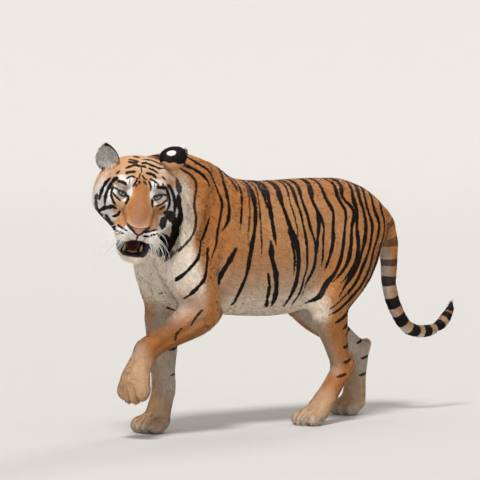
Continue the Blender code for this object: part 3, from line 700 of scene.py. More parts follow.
# Stripes, each as width in cm, how black it is, and its middle line in cm. Those of the trunk and legs
# are laid out as seen from the left: y backwards from between the shoulders, z up.
leftStripes = [
    (1.0, 1.0, [(-22.5, 89), (-24, 86), (-25, 81), (-25.5, 77), (-27, 73), (-29.5, 70)]),
    (1.2, 1.0, [(-19, 89), (-18.7, 85.5), (-19.3, 83.5)]),
    (0.8, 0.9, [(-16, 89), (-16.6, 85), (-19, 80), (-20.8, 75), (-22.2, 70)]),
    (0.6, 0.6, [(-12, 88), (-12.7, 85), (-15.4, 80), (-17, 75), (-18.5, 70), (-19, 65)]),
    (1.4, 1.0, [(-9, 88), (-11, 85), (-13, 80), (-14.4, 75), (-15.8, 70), (-17.2, 65), (-18.1, 60), (-18.6, 55),
                (-19.5, 50), (-19.7, 45)]),
    (0.6, 0.8, [(-8.2, 85), (-10.9, 80), (-12.3, 75), (-12.9, 70), (-13, 65), (-13.1, 60)]),
    (1.3, 1.0, [(-4.5, 87), (-5.6, 85), (-7, 82), (-8.3, 77.5)]),
    (1.5, 1.0, [(-3.2, 85), (-6, 80), (-7.3, 75), (-7.4, 70), (-6.6, 64.5)]),
    (1.7, 1.0, [(-9, 66), (-8.3, 60), (-6, 55), (-4.2, 50), (-3, 46)]),
    (1.1, 1.0, [(-9.4, 55), (-7.4, 50), (-5.9, 45), (-3, 41)]),
    (1.7, 1.0, [(2.5, 85), (0.7, 82), (-0.4, 80), (-0.7, 75), (0.3, 70), (2.5, 65), (3.7, 60), (4, 55), (4.1, 50),
                (3.8, 45)]),
    (0.8, 1.0, [(-0.9, 70), (0.5, 65), (1.8, 60), (2.1, 54)]),
    (0.6, 0.9, [(7.1, 85), (3.8, 80), (3.3, 75), (3.5, 70), (3.2, 66)]),
    (1.1, 1.0, [(9.4, 85), (6.8, 80), (6.7, 75), (7, 70), (7.7, 65), (8, 60), (8.5, 55), (8.2, 50), (7.5, 45)]),
    (1.2, 1.0, [(12.7, 85), (9.7, 80), (9.8, 75), (10.7, 70), (12.3, 65), (12.6, 60), (12, 55), (10.8, 50)]),
    (1.5, 1.0, [(18.6, 85), (14.8, 80), (15.5, 75), (15, 70), (13.9, 65), (13.6, 61)]),
    (0.9, 1.0, [(16, 76), (17.4, 70), (16.9, 65), (16.8, 60), (16.4, 56)]),
    (1.4, 1.0, [(23.5, 85), (21.9, 80), (23.4, 75), (22.2, 70), (21.7, 65), (20.2, 60), (18.2, 55)]),
    (1.2, 1.0, [(30, 86), (28.1, 80), (29.9, 75), (28.6, 70), (27.3, 65), (25.5, 60), (22.9, 55), (18.5, 50),
                (15.5, 45.5)]),
    (1.3, 1.0, [(33.2, 85), (30.4, 80), (34.2, 75), (32.2, 70), (31.3, 65), (29.3, 60), (25.8, 55),
                (20.5, 50.5)]),
    (1.4, 1.0, [(38.5, 85), (35.6, 80), (35.8, 75), (34.7, 70), (34.4, 65), (33.1, 60), (29.8, 55), (24, 50)]),
    (1.4, 1.0, [(43, 85), (39.2, 80), (39.1, 75), (39.4, 70), (37.8, 65), (35, 60), (31.8, 55), (26.7, 50),
                (22.5, 45)]),
    (1.2, 1.0, [(46, 84), (42.5, 80), (41.5, 75), (42.8, 70), (41.2, 65), (38.7, 60), (35, 55), (31.5, 50),
                (25.2, 45), (18.5, 41)]),
    (1.3, 1.0, [(50, 82), (46.7, 80), (45.1, 75), (47, 70), (45.1, 65), (41.8, 60), (40, 55), (36.2, 50),
                (31.2, 46), (25.5, 42), (19, 39)]),
    (1.2, 1.0, [(55, 80), (50, 75), (51, 70), (49.5, 64), (46, 58), (42.5, 52), (38, 47), (33, 43.5)]),
    (1.0, 1.0, [(55, 70), (54, 65), (50, 58)]),
    # the neck and the front of the shoulder
    (0.8, 0.75, [(-45, 92), (-40, 90), (-38.5, 87), (-41.8, 80), (-42.4, 75), (-44.4, 70), (-47, 67.3),
                 (-50.7, 64.5), (-54.5, 61.3)]),
    (1.0, 1.0, [(-34, 75), (-37, 70), (-40.9, 65), (-43, 62), (-47.3, 58.5), (-50, 56), (-53, 53), (-55, 51)]),
    (1.1, 1.0, [(-44, 94), (-37, 91.5), (-34, 88.5), (-32.3, 85)]),
    (0.8, 0.9, [(-34, 93), (-30, 90), (-28.6, 87.5), (-28, 83), (-27.7, 80), (-29.2, 75.5), (-30.5, 71.7),
                (-32.3, 65), (-35.5, 60)]),
    (1.1, 1.0, [(-35.5, 65), (-39, 59.5), (-41, 55), (-44, 52), (-46, 50), (-48, 47.5)]),
    (1.4, 1.0, [(-24, 64), (-25.5, 61.5), (-28, 57), (-29.5, 53), (-29.5, 48)]),
    (0.9, 1.0, [(-52, 98), (-52, 92), (-50, 86), (-51, 80)]),
    (0.9, 1.0, [(-58, 98), (-58, 92), (-57, 86)]),
]
leftLegStripes = [
    (1.1, 1.0, [(33, 43), (28, 39), (22, 36)]), (1.0, 1.0, [(37, 41), (32, 36.5), (26, 33.5)]),
    (0.9, 1.0, [(37, 36), (33, 33), (28, 31)]), (1.0, 0.9, [(36, 29), (31.5, 27.5), (27.5, 27)]),
    (0.8, 0.8, [(33, 22.5), (28.5, 21.5)]), (0.8, 0.7, [(30, 17.5), (26, 16.5)]),
    (0.7, 0.7, [(-42, 44), (-45, 41), (-46.5, 38.5)]), (0.7, 0.6, [(-50, 38), (-52, 36), (-52.5, 33.5)]),
]
rightLegStripes = [
    (1.3, 1.0, [(52, 56), (44, 50), (36, 45), (30, 41)]), (1.2, 1.0, [(52, 48), (46, 44), (40, 38.5), (36, 36)]),
    (1.1, 1.0, [(54, 42), (50, 38.5), (44, 34)]), (1.0, 1.0, [(60, 36), (55, 33), (50, 29.5)]),
    (0.9, 0.9, [(63, 29.5), (59, 27), (55, 25.5)]), (0.8, 0.8, [(62, 21), (57, 20)]),
    (0.8, 0.7, [(61, 15), (56, 14)]),
    (1.0, 0.9, [(-29, 44), (-33, 42.5), (-38, 43.5)]), (0.9, 0.9, [(-30, 37), (-34, 35.5), (-38, 36.5)]),
    (0.8, 0.8, [(-31, 29.5), (-35, 28.5), (-38.5, 29.5)]), (0.7, 0.6, [(-33, 20), (-36, 19.5)]),
]

# Stripes of the face, and a few broad strokes of painted shade, in cm in the plane that the eyes face: across to
# the animal's left, and up.
faceStripesAndShade = [
    # the crown
    (0.45, 0.85, [(-5.1, 11.3), (-3.2, 11.2), (-1.2, 10.8)]),
    (0.65, 1.0, [(-5.1, 10.5), (-3.5, 10.3), (-1.8, 10.5)]),
    (0.65, 1.0, [(-5.7, 8.2), (-4.3, 8.9), (-2.4, 9.6), (-1.0, 9.4), (0.5, 9.4), (1.4, 9.0)]),
    (0.5, 1.0, [(2.0, 9.0), (3.9, 8.5), (5.4, 7.6)]),
    (0.4, 0.85, [(-0.3, 11.9), (1.5, 11.9), (3.1, 11.7), (4.8, 11.2), (6.1, 10.5)]),
    (0.6, 1.0, [(-0.7, 10.4), (0.8, 10.7), (2.5, 10.2), (4.2, 9.8), (5.5, 9.4), (7.4, 9.7)]),
    (0.5, 0.9, [(3.5, 13.7), (4.8, 13.0), (5.9, 12.6)]), (0.55, 0.8, [(-8.5, 5.9), (-7.5, 7.2)]),
    (0.45, 0.7, [(6.8, 6.8), (8.0, 5.7)]), (0.5, 0.8, [(-3.6, 12.6), (-1.4, 12.3)]),
    # over the brows
    (0.85, 1.0, [(-5.5, 6.5), (-4.1, 7.0), (-2.1, 7.4)]),
    (0.55, 1.0, [(-5.0, 4.6), (-4.3, 5.2), (-3.1, 5.7), (-1.8, 5.2)]),
    (0.85, 1.0, [(1.4, 7.3), (3.1, 7.1), (4.1, 6.7), (5.0, 5.9)]),
    (0.55, 0.95, [(2.7, 5.5), (4.2, 5.0), (5.5, 4.1)]),
    (0.9, 1.0, [(-7.8, 3.6), (-6.3, 3.4), (-5.3, 3.1), (-4.6, 2.5)]),
    (1.0, 1.0, [(5.4, 3.1), (6.3, 2.9), (7.2, 3.0), (8.4, 2.7)]),
    (0.4, 1.0, [(5.6, 4.3), (6.1, 3.0)]), (0.45, 1.0, [(7.3, 4.5), (7.6, 3.2)]),
    (0.3, 0.4, [(-3.8, 4.8), (-3.8, 3.0)]), (0.3, 0.4, [(4.6, 4.0), (4.9, 2.6)]),
    # between the brows
    (0.4, 0.65, [(-0.5, 9.0), (-0.1, 7.2)]), (0.4, 0.75, [(-0.5, 7.0), (-0.7, 6.3), (-0.8, 5.0)]),
    (0.45, 0.8, [(0.1, 6.4), (1.1, 5.3), (2.2, 5.1)]), (0.6, 0.8, [(-0.6, 4.5), (-0.4, 3.3)]),
    (0.55, 0.8, [(0.9, 4.5), (1.9, 3.3)]), (0.4, 0.8, [(-1.2, 5.4), (-1.7, 4.4)]),
    (0.55, 0.95, [(-1.4, 4.7), (-1.8, 3.5), (-2.5, 2.2)]), (0.4, 0.8, [(-1.2, 3.2), (-1.6, 2.1)]),
    (0.55, 0.95, [(2.5, 4.7), (3.0, 3.9), (3.5, 2.9), (3.5, 1.4)]),
    # its right cheek
    (0.5, 0.95, [(-9.1, -0.3), (-8.1, -1.5), (-6.9, -2.4), (-6.1, -3.0)]),
    (0.7, 1.0, [(-9.2, 1.9), (-9.6, -0.6), (-9.2, -2.2), (-8.4, -3.5), (-7.5, -4.8)]),
    (0.45, 1.0, [(-8.8, 1.3), (-7.8, 1.0), (-7.0, 0.5)]),
    (1.2, 1.0, [(-7.8, 4.6), (-8.9, 4.2), (-9.6, 3.2)]),
    (1.05, 1.0, [(-8.9, 4.4), (-9.5, 3.4), (-10.2, 2.2), (-11.0, 0.4), (-11.4, -1.3), (-11.5, -3.0),
                (-11.4, -5.4)]),
    (0.95, 0.95, [(-10.4, 4.5), (-11.9, 2.8), (-12.8, 0.7), (-13.3, -1.3), (-13.7, -3.4)]),
    (1.0, 0.75, [(-14.6, -1.2), (-14.7, -3.5), (-14.3, -5.6), (-13.8, -7.4)]),
    (1.15, 1.0, [(-13.9, -7.4), (-12.6, -6.4), (-11.4, -5.7), (-9.9, -5.4), (-8.7, -5.1), (-7.3, -5.6)]),
    (0.9, 1.0, [(-8.4, -8.3), (-7.0, -7.9), (-6.4, -7.2), (-6.0, -6.2)]),
    # these two strokes at the bottom of the ruff are partly its own black and grey hairs and partly painted shade
    (1.9, 0.85, [(-13.4, -7.8), (-12.4, -9.2), (-10.8, -10.6), (-9.0, -11.7), (-7.2, -12.4)]),
    (1.2, 0.85, [(-10.9, -8.0), (-9.8, -9.5), (-8.6, -10.8), (-7.0, -11.8)]),
    # its left cheek
    (0.4, 0.85, [(5.9, -3.5), (7.3, -2.8), (8.4, -1.9), (9.1, -0.7)]),
    (0.45, 0.85, [(7.1, -4.4), (8.0, -3.8), (8.9, -2.9)]),
    (0.4, 0.8, [(8.9, 1.2), (9.3, 0.1), (9.3, -1.6)]), (0.45, 1.0, [(8.8, 0.5), (7.9, 0.75), (7.2, 0.6)]),
    (0.7, 1.0, [(8.1, 3.6), (9.0, 2.1), (9.7, 0.4), (10.1, -1.3), (10.0, -3.1), (9.4, -4.8)]),
    (0.85, 1.0, [(8.9, 4.3), (9.5, 3.7), (10.5, 2.3), (11.3, 0.5), (11.8, -1.4), (12.0, -3.4), (12.0, -5.6)]),
    (1.5, 1.0, [(12.7, 1.2), (13.1, -1.5), (13.7, -3.8), (14.0, -6.9), (13.8, -9.0), (13.2, -11.7),
                (12.0, -15.0), (11.0, -18.6), (10.3, -21.5)]),
    (1.6, 0.7, [(11.9, 8.0), (12.4, 5.0), (12.8, 2.0)]),
    # the broad dark strokes from here down are painted shade over the white lower cheek on this side, darkening it
    # together with its black stripes
    (2.6, 0.9, [(9.0, -5.3), (11.0, -6.1), (12.6, -8.0), (12.8, -10.8), (11.9, -13.4), (10.6, -16.2),
                (9.8, -19.0)]),
    (1.8, 0.85, [(8.9, -6.8), (8.6, -8.6), (8.3, -10.6)]),
    (2.6, 0.9, [(8.4, -12.3), (9.4, -14.6), (8.8, -17.4), (8.2, -20.0)]),
    (1.5, 0.85, [(5.4, -16.4), (6.2, -18.6), (6.8, -21.5)]),
    # tear corners, lip corners, and the rows that the whiskers grow from
    (0.8, 1.0, [(-3.8, -0.9), (-3.6, -2.0), (-4.0, -3.0), (-4.4, -4.2)]),
    (0.7, 1.0, [(4.3, -1.2), (4.5, -2.4), (4.8, -4.0)]),
    (0.4, 0.2, [(-4.4, -4.2), (-4.9, -6.0), (-4.8, -7.6)]), (0.4, 0.2, [(4.8, -4.0), (5.3, -5.8), (5.2, -7.6)]),
    (1.1, 0.9, [(-15.0, 9.2), (-14.5, 7.6)]), (1.0, 0.5, [(-13.5, 7.9), (-12.3, 7.5)]),
    (0.45, 1.0, [(1.1, -13.4), (0.9, -14.4), (0.5, -15.4)]),
    (0.55, 1.0, [(-6.4, -10.9), (-4.6, -12.0), (-2.7, -12.8)]),
    (0.65, 1.0, [(-7.8, -12.3), (-6.3, -13.1), (-5.2, -13.5), (-3.0, -13.9)]),
    (0.65, 1.0, [(-7.0, -13.9), (-5.6, -14.5), (-4.4, -14.8), (-2.3, -14.7)]),
    (0.55, 1.0, [(2.8, -12.8), (4.2, -12.4), (5.4, -11.9), (7.2, -11.1)]),
    (0.65, 1.0, [(2.9, -14.0), (4.6, -13.9), (5.6, -13.4), (7.4, -12.6)]),
    (0.55, 1.0, [(3.4, -14.9), (5.0, -14.8), (6.7, -14.1)]),
    (1.7, 1.0, [(-4.7, -15.3), (-5.2, -17.0), (-5.0, -18.7), (-4.1, -20.0)]),
]
# Pale lines under and beside the eyes, and over the whisker rows.
faceLights = [
    (1.15, 1.0, [(-8.5, 0.5), (-7.3, -0.8), (-6.3, -1.6), (-5.2, -2.2), (-4.3, -2.8)]),
    (1.0, 1.0, [(4.9, -3.0), (5.6, -2.5), (6.5, -2.1), (7.5, -1.2), (8.2, 0.2)]),
    (0.8, 1.0, [(-3.1, 2.6), (-3.0, 0.6), (-3.1, -1.3)]), (0.6, 1.0, [(4.0, 2.6), (3.8, 0.6), (3.9, -1.3)]),
    (0.6, 1.0, [(-7.0, -11.8), (-4.6, -12.7), (-2.6, -13.4)]),
    (0.5, 1.0, [(-6.6, -13.6), (-4.4, -14.2), (-2.2, -14.4)]),
    (0.6, 1.0, [(2.4, -13.4), (4.6, -13.1), (7.2, -12.0)]),
    (0.5, 1.0, [(3.0, -14.5), (5.0, -14.3), (7.0, -13.4)]),
    (1.0, 1.0, [(-3.4, -11.2), (-2.0, -12.6), (-0.7, -13.9)]),
    (0.5, 1.0, [(-8.6, 2.4), (-9.0, 0.6), (-8.8, -0.6)]),
    (0.9, 1.0, [(-12.0, 1.0), (-12.5, -1.5), (-12.7, -4.2)]),
    (0.6, 1.0, [(9.6, 2.6), (10.6, 0.2), (11.0, -2.4), (10.8, -4.4)]),
]
# Soft patches of colour on the face in the same plane: how strong, where, and half their width and height.
facePatches = [
    ("cream", 0.25, (-12.5, 5.8), (3.2, 3.4)), ("cream", 0.4, (9.2, 8.4), (4.4, 2.4)),
    ("cream", 0.15, (2.5, 9.8), (5.5, 1.8)),
    ("white", 0.9, (-12.6, -2.8), (3.6, 6.4)), ("white", 0.95, (-10.0, -7.0), (3.0, 3.8)),
    ("white", 0.9, (11.4, -2.2), (2.5, 5.6)), ("white", 0.9, (9.4, -9.4), (4.0, 3.4)),
    ("cheekTan", 0.95, (-7.0, -4.5), (2.0, 2.9)), ("muzzle", 0.95, (7.2, -4.0), (1.8, 2.4)),
    ("muzzle", 0.95, (-4.9, -8.7), (1.7, 3.4)), ("muzzle", 0.95, (5.7, -8.9), (1.5, 3.4)),
    ("bridge", 1.0, (0.5, 1.0), (2.6, 4.4)), ("bridge", 1.0, (0.4, -5.2), (4.1, 4.8)),
    ("aboveNose", 0.6, (0.9, -6.2), (2.8, 4.4)), ("greyNose", 0.5, (1.0, -9.8), (2.8, 1.1)),
    ("white", 0.97, (-3.9, 3.8), (1.4, 1.8)), ("white", 0.95, (-6.9, 1.7), (2.2, 0.9)),
    ("white", 0.8, (-6.4, 5.0), (1.9, 1.0)),
    ("white", 1.0, (-7.8, -0.2), (0.9, 0.8)), ("white", 1.0, (7.8, -0.5), (0.8, 0.8)),
    ("white", 0.95, (-3.6, 0.4), (0.9, 2.2)), ("white", 0.95, (4.3, 0.0), (0.75, 2.2)),
    ("white", 1.0, (1.0, -14.7), (2.2, 0.9)),
    ("white", 0.97, (4.5, 3.4), (1.1, 2.3)), ("white", 0.9, (6.7, 1.4), (2.0, 0.9)),
    ("white", 0.75, (6.6, 4.6), (1.8, 1.2)),
    ("white", 1.0, (-4.4, -13.5), (3.3, 1.5)), ("white", 1.0, (-0.4, -14.3), (1.9, 1.1)),
    ("white", 1.0, (4.9, -13.4), (2.8, 1.4)), ("white", 1.0, (0.2, -22.0), (5.6, 3.2)),
    ("white", 1.0, (-5.8, -16.6), (1.8, 3.2)), ("white", 1.0, (5.2, -16.4), (1.6, 3.0)),
]
# Bars behind the cheeks and on the nape, in cm as seen from the side of the head: back from the eyes, and up.
napeStripes = [
    (1.6, 1.0, [(9.5, 3), (11.0, -1), (11.8, -6), (11.4, -11)]),
    (1.3, 1.0, [(14.5, 4), (15.6, 0), (16.0, -5), (15.4, -10)]),
    (1.2, 1.0, [(7.0, -12), (10.0, -15), (13.5, -17)]), (1.0, 1.0, [(11.5, 12), (13.0, 8), (15.5, 6)]),
    (1.0, 1.0, [(6.0, 13), (7.5, 9.5), (8.0, 8)]), (1.0, 1.0, [(15.5, 14), (16.5, 10)]),
]

# The white spot on the black back of an ear, and how high that black begins, in cm in the face's plane.
earSpot = {"centre": (9, 15), "radii": (1.75, 0.95), "turn": ((0.97, -0.24), (0.24, 0.97)), "black": 11.8}

furColours = {
    "back": "#C4824A", "shoulder": "#BE7A40", "flank": "#D29C6C", "lowFlank": "#E2C6A8", "belly": "#F1DFCA",
    "cream": "#FFEFDC", "white": "#F9F6F2", "legPale": "#D3C2B1", "paw": "#D8B48E", "bridge": "#B57844",
    "muzzle": "#C98F5E", "aboveNose": "#AD775A", "greyNose": "#A08072", "cheekTan": "#E4B88E", "crown": "#D8A679",
    "stripe": "#17100D", "earInside": "#7E6E68", "tailGrey": "#A08A70",
}


# Stripes of the trunk run on over the back and down the flank, in metres, and are drawn wider than the rest.
stripeLook = {"overBack": 0.14, "downFlank": 0.045, "runningOn": 1.18, "plain": 1.05}


def stripeField(flat, stripes, runningOn=False):
    # metres outside the nearest stripe (negative inside it) and how black that stripe is
    best, ink = np.full(len(flat), 0.05), np.zeros(len(flat))
    for order, (width, black, line) in enumerate(stripes):
        line = np.array(line, float) / 100
        if runningOn and line[0, 1] > 0.835:
            upwards = line[0] - line[1]
            line = np.vstack([line[0] + upwards / np.linalg.norm(upwards) * stripeLook["overBack"], line])
        if runningOn and line[-1, 1] < 0.52 and -0.25 < line[-1, 0] < 0.16:
            downwards = line[-1] - line[-2]
            line = np.vstack([line, line[-1] + downwards / np.linalg.norm(downwards) * stripeLook["downFlank"]])
        half = width / 200 * stripeLook["runningOn" if runningOn else "plain"]
        least, most = line.min(0) - half - 0.012, line.max(0) + half + 0.012
        near = np.flatnonzero(((flat > least) & (flat < most)).all(axis=1))
        if not len(near):
            continue
        distance, share = nearLine(flat[near], line, 3)
        taper = np.clip(np.minimum((share + 0.02) / 0.10, (1.02 - share) / 0.22), 0.02, 1) ** 0.6
        waver = 1 + 0.16 * np.sin(share * 19 + order * 2.3) + 0.10 * np.sin(share * 43 + order)
        value = distance - half * taper * waver
        closer = value < best[near]
        best[near[closer]] = value[closer]
        ink[near[closer]] = 1 - (1 - black) ** 2
    return best, ink


def blob(flat, centre, radii):
    # 1 in the middle of a soft oval, 0 outside it; measures in cm
    reach = np.linalg.norm((flat * 100 - centre) / np.array(radii), axis=1)
    return ramp(reach, 1.3, 0.7)


def markings(place):
    # ground colour, metres outside the nearest stripe, and how black it is
    count = len(place.points)
    colour = np.zeros((count, 3))
    shades = {name: np.array(linearColour(text)) for name, text in furColours.items()}

    def lay(where, weight, name):
        colour[where] += np.asarray(weight)[:, None] * (shades[name] - colour[where])

    x, y, z = place.points.T
    nx, ny, nz = place.normals.T
    every = np.ones(count, bool)
    side = np.sign(x)
    colour[:] = shades["back"]
    flat = place.points[:, 1:]
    lay(every, 0.8 * blob(flat, (-25, 82), (16, 15)), "shoulder")
    lay(every, 0.7 * blob(flat, (6, 70), (30, 11)), "flank")
    low = ramp(z, 0.64, 0.46) * ramp(y, 0.22, 0.08) * ramp(y, -0.38, -0.30)
    lay(every, low * 0.85, "lowFlank")
    lay(every, ramp(z, 0.50, 0.42) * ramp(y, 0.18, 0.10) * ramp(y, -0.32, -0.26) * 0.8, "belly")
    lay(every, ramp(-nz, 0.35, 0.75) * ramp(z, 0.34, 0.40), "belly")
    front = -0.430 - 0.020 * ramp(z, 0.80, 0.70) * ramp(z, 0.60, 0.66) + 0.02 * ramp(z, 0.60, 0.50)
    lay(every, ramp(y, front + 0.020, front - 0.020) * ramp(z, 0.93, 0.85) * ramp(z, 0.36, 0.47), "cream")
    legs = place.on("fore_left_upper", "fore_left_forearm", "fore_right_upper", "fore_right_forearm",
                    "hind_left_thigh", "hind_left_shank", "hind_right_thigh", "hind_right_shank",
                    "hind_left_foot", "hind_right_foot", "fore_right_paw")
    inner = ramp(-side * nx, 0.10, 0.60) * legs * ramp(z, 0.62, 0.50)
    lay(every, inner, "legPale")
    outer = place.on("fore_left_upper", "fore_left_forearm") * ramp(side * nx, 0.0, 0.5) * ramp(z, 0.56, 0.46)
    lay(every, 0.6 * outer, "shoulder")
    shin = place.on("fore_left_forearm", "hind_left_shank", "fore_right_forearm") * ramp(-ny, 0.4, 0.8)
    lay(every, 0.5 * shin, "legPale")
    knee = blob(flat, (13, 41), (5.5, 6.5)) * (x > 0)
    lay(every, knee, "cream")
    feet = np.maximum.reduce([
        ramp(np.linalg.norm(place.points - np.array(Vector(paw["ball"]).lerp(Vector(paw["toes"]), 0.5)), axis=1),
             0.150, 0.085) for paw in paws.values()])
    lay(every, 0.8 * feet, "paw")
    lay(every, feet * ramp(z, 0.045, 0.015) * (y > -0.55), "legPale")
    tail = place.on(*tailNodes)
    share = alongTail(place.points[tail])
    tailLength = np.linalg.norm(np.diff(np.array(tailPath), axis=0), axis=1).sum()
    under = np.clip(-nz[tail] * ramp(share, 0.4, 0.6) + ny[tail] * ramp(share, 0.6, 0.4) * -0.6, 0, 1)
    lay(tail, ramp(share, 0.2, 0.4) * 0.55, "tailGrey")
    lay(tail, ramp(under, 0.2, 0.7) * 0.8, "white")

    left, inkLeft = stripeField(flat, leftStripes + leftLegStripes, runningOn=True)
    mirrored = flat.copy()
    mirrored[:, 0] -= 0.016 + 0.012 * np.sin(flat[:, 1] * 17 + 1.0)
    mirrored[:, 1] += 0.012 * np.sin(flat[:, 0] * 9)
    right, inkRight = stripeField(mirrored, leftStripes, runningOn=True)
    lowerLeg = place.on("hind_right_shank", "hind_right_foot")
    right = right + 0.016 * ramp(z, 0.64, 0.55) * (y > 0.24) + 0.05 * lowerLeg
    rightLeg, inkLeg = stripeField(flat, rightLegStripes)
    closer = rightLeg < right
    right, inkRight = np.where(closer, rightLeg, right), np.where(closer, inkLeg, inkRight)
    onLeft = x > 0.004 * np.sin(y * 60)
    gap, ink = np.where(onLeft, left, right), np.where(onLeft, inkLeft, inkRight)
    # no stripes under the belly and between the legs, where the coat is pale
    quiet = ramp(-nz, 0.70, 0.92) * (z > 0.34) * (y < 0.5)
    quiet = np.maximum(quiet, ramp(-ny, 0.70, 0.90) * ramp(y, -0.35, -0.42) * (z > 0.42))
    quiet = np.maximum(quiet, (x < 0.02) * ramp(y, -0.36, -0.40) * ramp(-ny, 0.2, 0.5) * (z > 0.42))
    gap = gap + 0.03 * quiet
    ring = np.abs((share * tailLength / tailRings["spacing"]) % 1 - 0.5) * tailRings["spacing"]
    ring = ring - tailRings["half"] - tailRings["wider"] * ramp(share, 0.3, 0.6)
    ring = ring - tailRings["waver"] * np.sin(share * 40)
    ring = np.where(share > tailRings["blackTip"], -0.02, ring)
    gap[tail], ink[tail] = ring, 0.55 + 0.45 * ramp(share, 0.1, 0.5)

    # the head
    onHead = place.on(*headNodes)
    head, headNormals = place.head[onHead], place.headNormals[onHead]
    hx, hy, hz = head.T
    face = facePlane(head)
    beneath = colour[onHead].copy()
    colour[onHead] = shades["crown"]
    lay(onHead, 0.9 * ramp(hz, -0.01, -0.10) * ramp(hy, -0.02, 0.03), "white")
    for name, weight, centre, radii in facePatches:
        lay(onHead, weight * blob(face, centre, radii) * ramp(hy, 0.11, 0.07), name)
    light = stripeField(face, faceLights)[0]
    lay(onHead, ramp(light, 0.002, -0.001) * ramp(hy, 0.09, 0.05), "white")
    gapFace, inkFace = stripeField(face, faceStripesAndShade)
    faceward = ramp(headNormals @ np.array(eyeForm["look"]), -0.12, 0.06) * ramp(headNormals[:, 1], 0.80, 0.55)
    gapFace = gapFace + 0.03 * (1 - faceward)
    gapNape, inkNape = stripeField(head[:, 1:], napeStripes)
    gapNape = gapNape + 0.03 * ramp(hy, 0.085, 0.06) + 0.02 * faceward
    nape = gapNape < gapFace
    # past the ruff the neck's own colour and stripes take over
    outside = np.linalg.norm((head - (0, 0.05, -0.045)) / (0.158, 0.17, 0.168), axis=1)
    own = ramp(outside, 1.16, 1.04)
    colour[onHead] = beneath + own[:, None] * (colour[onHead] - beneath)
    gap[onHead] = np.where(own < 0.5, gap[onHead], np.where(nape, gapNape, gapFace))
    ink[onHead] = np.where(own < 0.5, ink[onHead], np.where(nape, inkNape, inkFace))
    # the face's outer strokes run on over the neck, chest and shoulder beside the head: the ruff's black edge, and
    # the painted shade of its left cheek
    beside = place.on("neck", "chest", "fore_left_upper", *headNodes) & (place.head[:, 0] > 0.07)
    beside &= place.head[:, 2] < 0.09
    beside &= place.head[:, 1] < 0.20
    edge = [stripe for stripe in faceStripesAndShade if min(p[0] for p in stripe[2]) > 7.0]
    gapEdge, inkEdge = stripeField(facePlane(place.head[beside]), edge)
    facing = ramp(place.headNormals[beside] @ np.array(eyeForm["look"]), -0.15, 0.0)
    gapEdge = gapEdge + 0.03 * (1 - facing)
    over = gapEdge < gap[beside]
    gap[beside], ink[beside] = np.where(over, gapEdge, gap[beside]), np.where(over, inkEdge, ink[beside])
    for name in ("right", "left"):
        here = place.on("ear_" + name)
        local, matrix = earLocal(name, place.points[here])
        normal = place.normals[here] @ matrix[:3, :3]
        hollow = ramp(-normal[:, 1], -0.10, 0.15)
        radius = earRadius(local)
        colour[here] = shades["crown"]
        lay(here, hollow, "earInside")
        lay(here, 0.35 * hollow * ramp(radius, 1.05, 0.80), "white")
        # black back with a white spot, laid out on the left ear and mirrored for the right
        likeLeft = local * (1 if name == "left" else -1, 1, 1)
        plane = facePlane(toHead(moved(likeLeft, earMatrix("left")))) * 100
        away = (plane - earSpot["centre"]) @ np.array(earSpot["turn"])
        spot = np.linalg.norm(away / earSpot["radii"], axis=1)
        lay(here, (1 - hollow) * ramp(spot, 1.15, 0.85), "white")
        edge = earSpot["black"] + 0.2 * np.sin(plane[:, 0] * 2)
        back = np.maximum((1.0 - spot) * 0.01, (edge - plane[:, 1]) * 0.01)
        inward = np.sign((np.array(headMatrix.translation) - matrix[:3, 3]) @ matrix[:3, 0])
        rim = np.where((radius > 0.96) & (local[:, 0] * inward > -0.005), -0.01, 0.02)
        gap[here] = np.where(hollow > 0.5, rim, back)
        ink[here] = 1.0
    return colour, gap, ink


mesh = skin.data
points, normals = vertexRows(mesh, "co"), vertexRows(mesh, "normal")
node = nearestNode(points)
place = Places(points, normals, node)     # the outside of the coat; the skin is drawn in under it
lie, hairLength, coatDepth, naked = coatFields(place)
edges = edgesOf(mesh)
lie = neighbourMean(edges, len(points), lie, 0.5, 24)
soft = neighbourMean(edges, len(points), np.column_stack([hairLength, coatDepth]), 0.5, 10)
hairLength, coatDepth = np.where(naked > 0.5, hairLength, soft[:, 0]), soft[:, 1] * (1 - naked)
lie -= (lie * normals).sum(axis=1)[:, None] * normals
lie /= np.linalg.norm(lie, axis=1)[:, None].clip(1e-6)
points = points - normals * coatDepth[:, None]
points[:, 2] = np.maximum(points[:, 2], 0.0008)
setCoordinates(mesh, points)
print("lie of the coat laid out")


def keep(mesh, name, kind, values):
    # writes one value a vertex under a name that materials read
    if kind == "FLOAT_COLOR":
        values = np.column_stack([values, np.ones(len(values))])
    field = {"FLOAT_COLOR": "color", "FLOAT_VECTOR": "vector", "FLOAT": "value"}[kind]
    mesh.attributes.new(name, kind, "POINT").data.foreach_set(field, values.astype(np.float32).ravel())


def openEyes(mesh):
    # cuts the skin away between the lids
    bm = bmesh.new()
    bm.from_mesh(mesh)
    centres = np.array([f.calc_center_median() for f in bm.faces])
    head = toHead(centres)
    near = np.abs(np.abs(head[:, 0]) - headPlace["eyeSpacing"]) < 0.03
    near &= (np.abs(head[:, 2]) < 0.03) & (head[:, 1] < 0.0)
    cut = np.flatnonzero(near)[lidGap(head[near]) < -0.0004]
    bm.faces.ensure_lookup_table()
    bmesh.ops.delete(bm, geom=[bm.faces[i] for i in cut], context="FACES")
    bm.to_mesh(mesh)
    bm.free()


onHead = place.on(*headNodes)
ground, gap, ink = markings(place)
inside, lips = mouthParts(place.head, place.headNormals)
nose = np.where(onHead, noseDepth(place.head), -0.02)
crisp = (onHead | place.on("ear_left", "ear_right"))[:, None]
ground = neighbourMean(edges, len(ground), ground, 0.5 * (1 - crisp), 16)
keep(mesh, "ground", "FLOAT_COLOR", ground)
keep(mesh, "groundCopy", "FLOAT_VECTOR", ground)
keep(mesh, "lie", "FLOAT_VECTOR", lie)
hx, _, hz = place.head.T
lidSkin = ramp(lidGap(place.head), 0.0035, 0.0015)
aboveEdge = hz - noseForm["point"] - noseForm["slope"] * np.abs(hx)
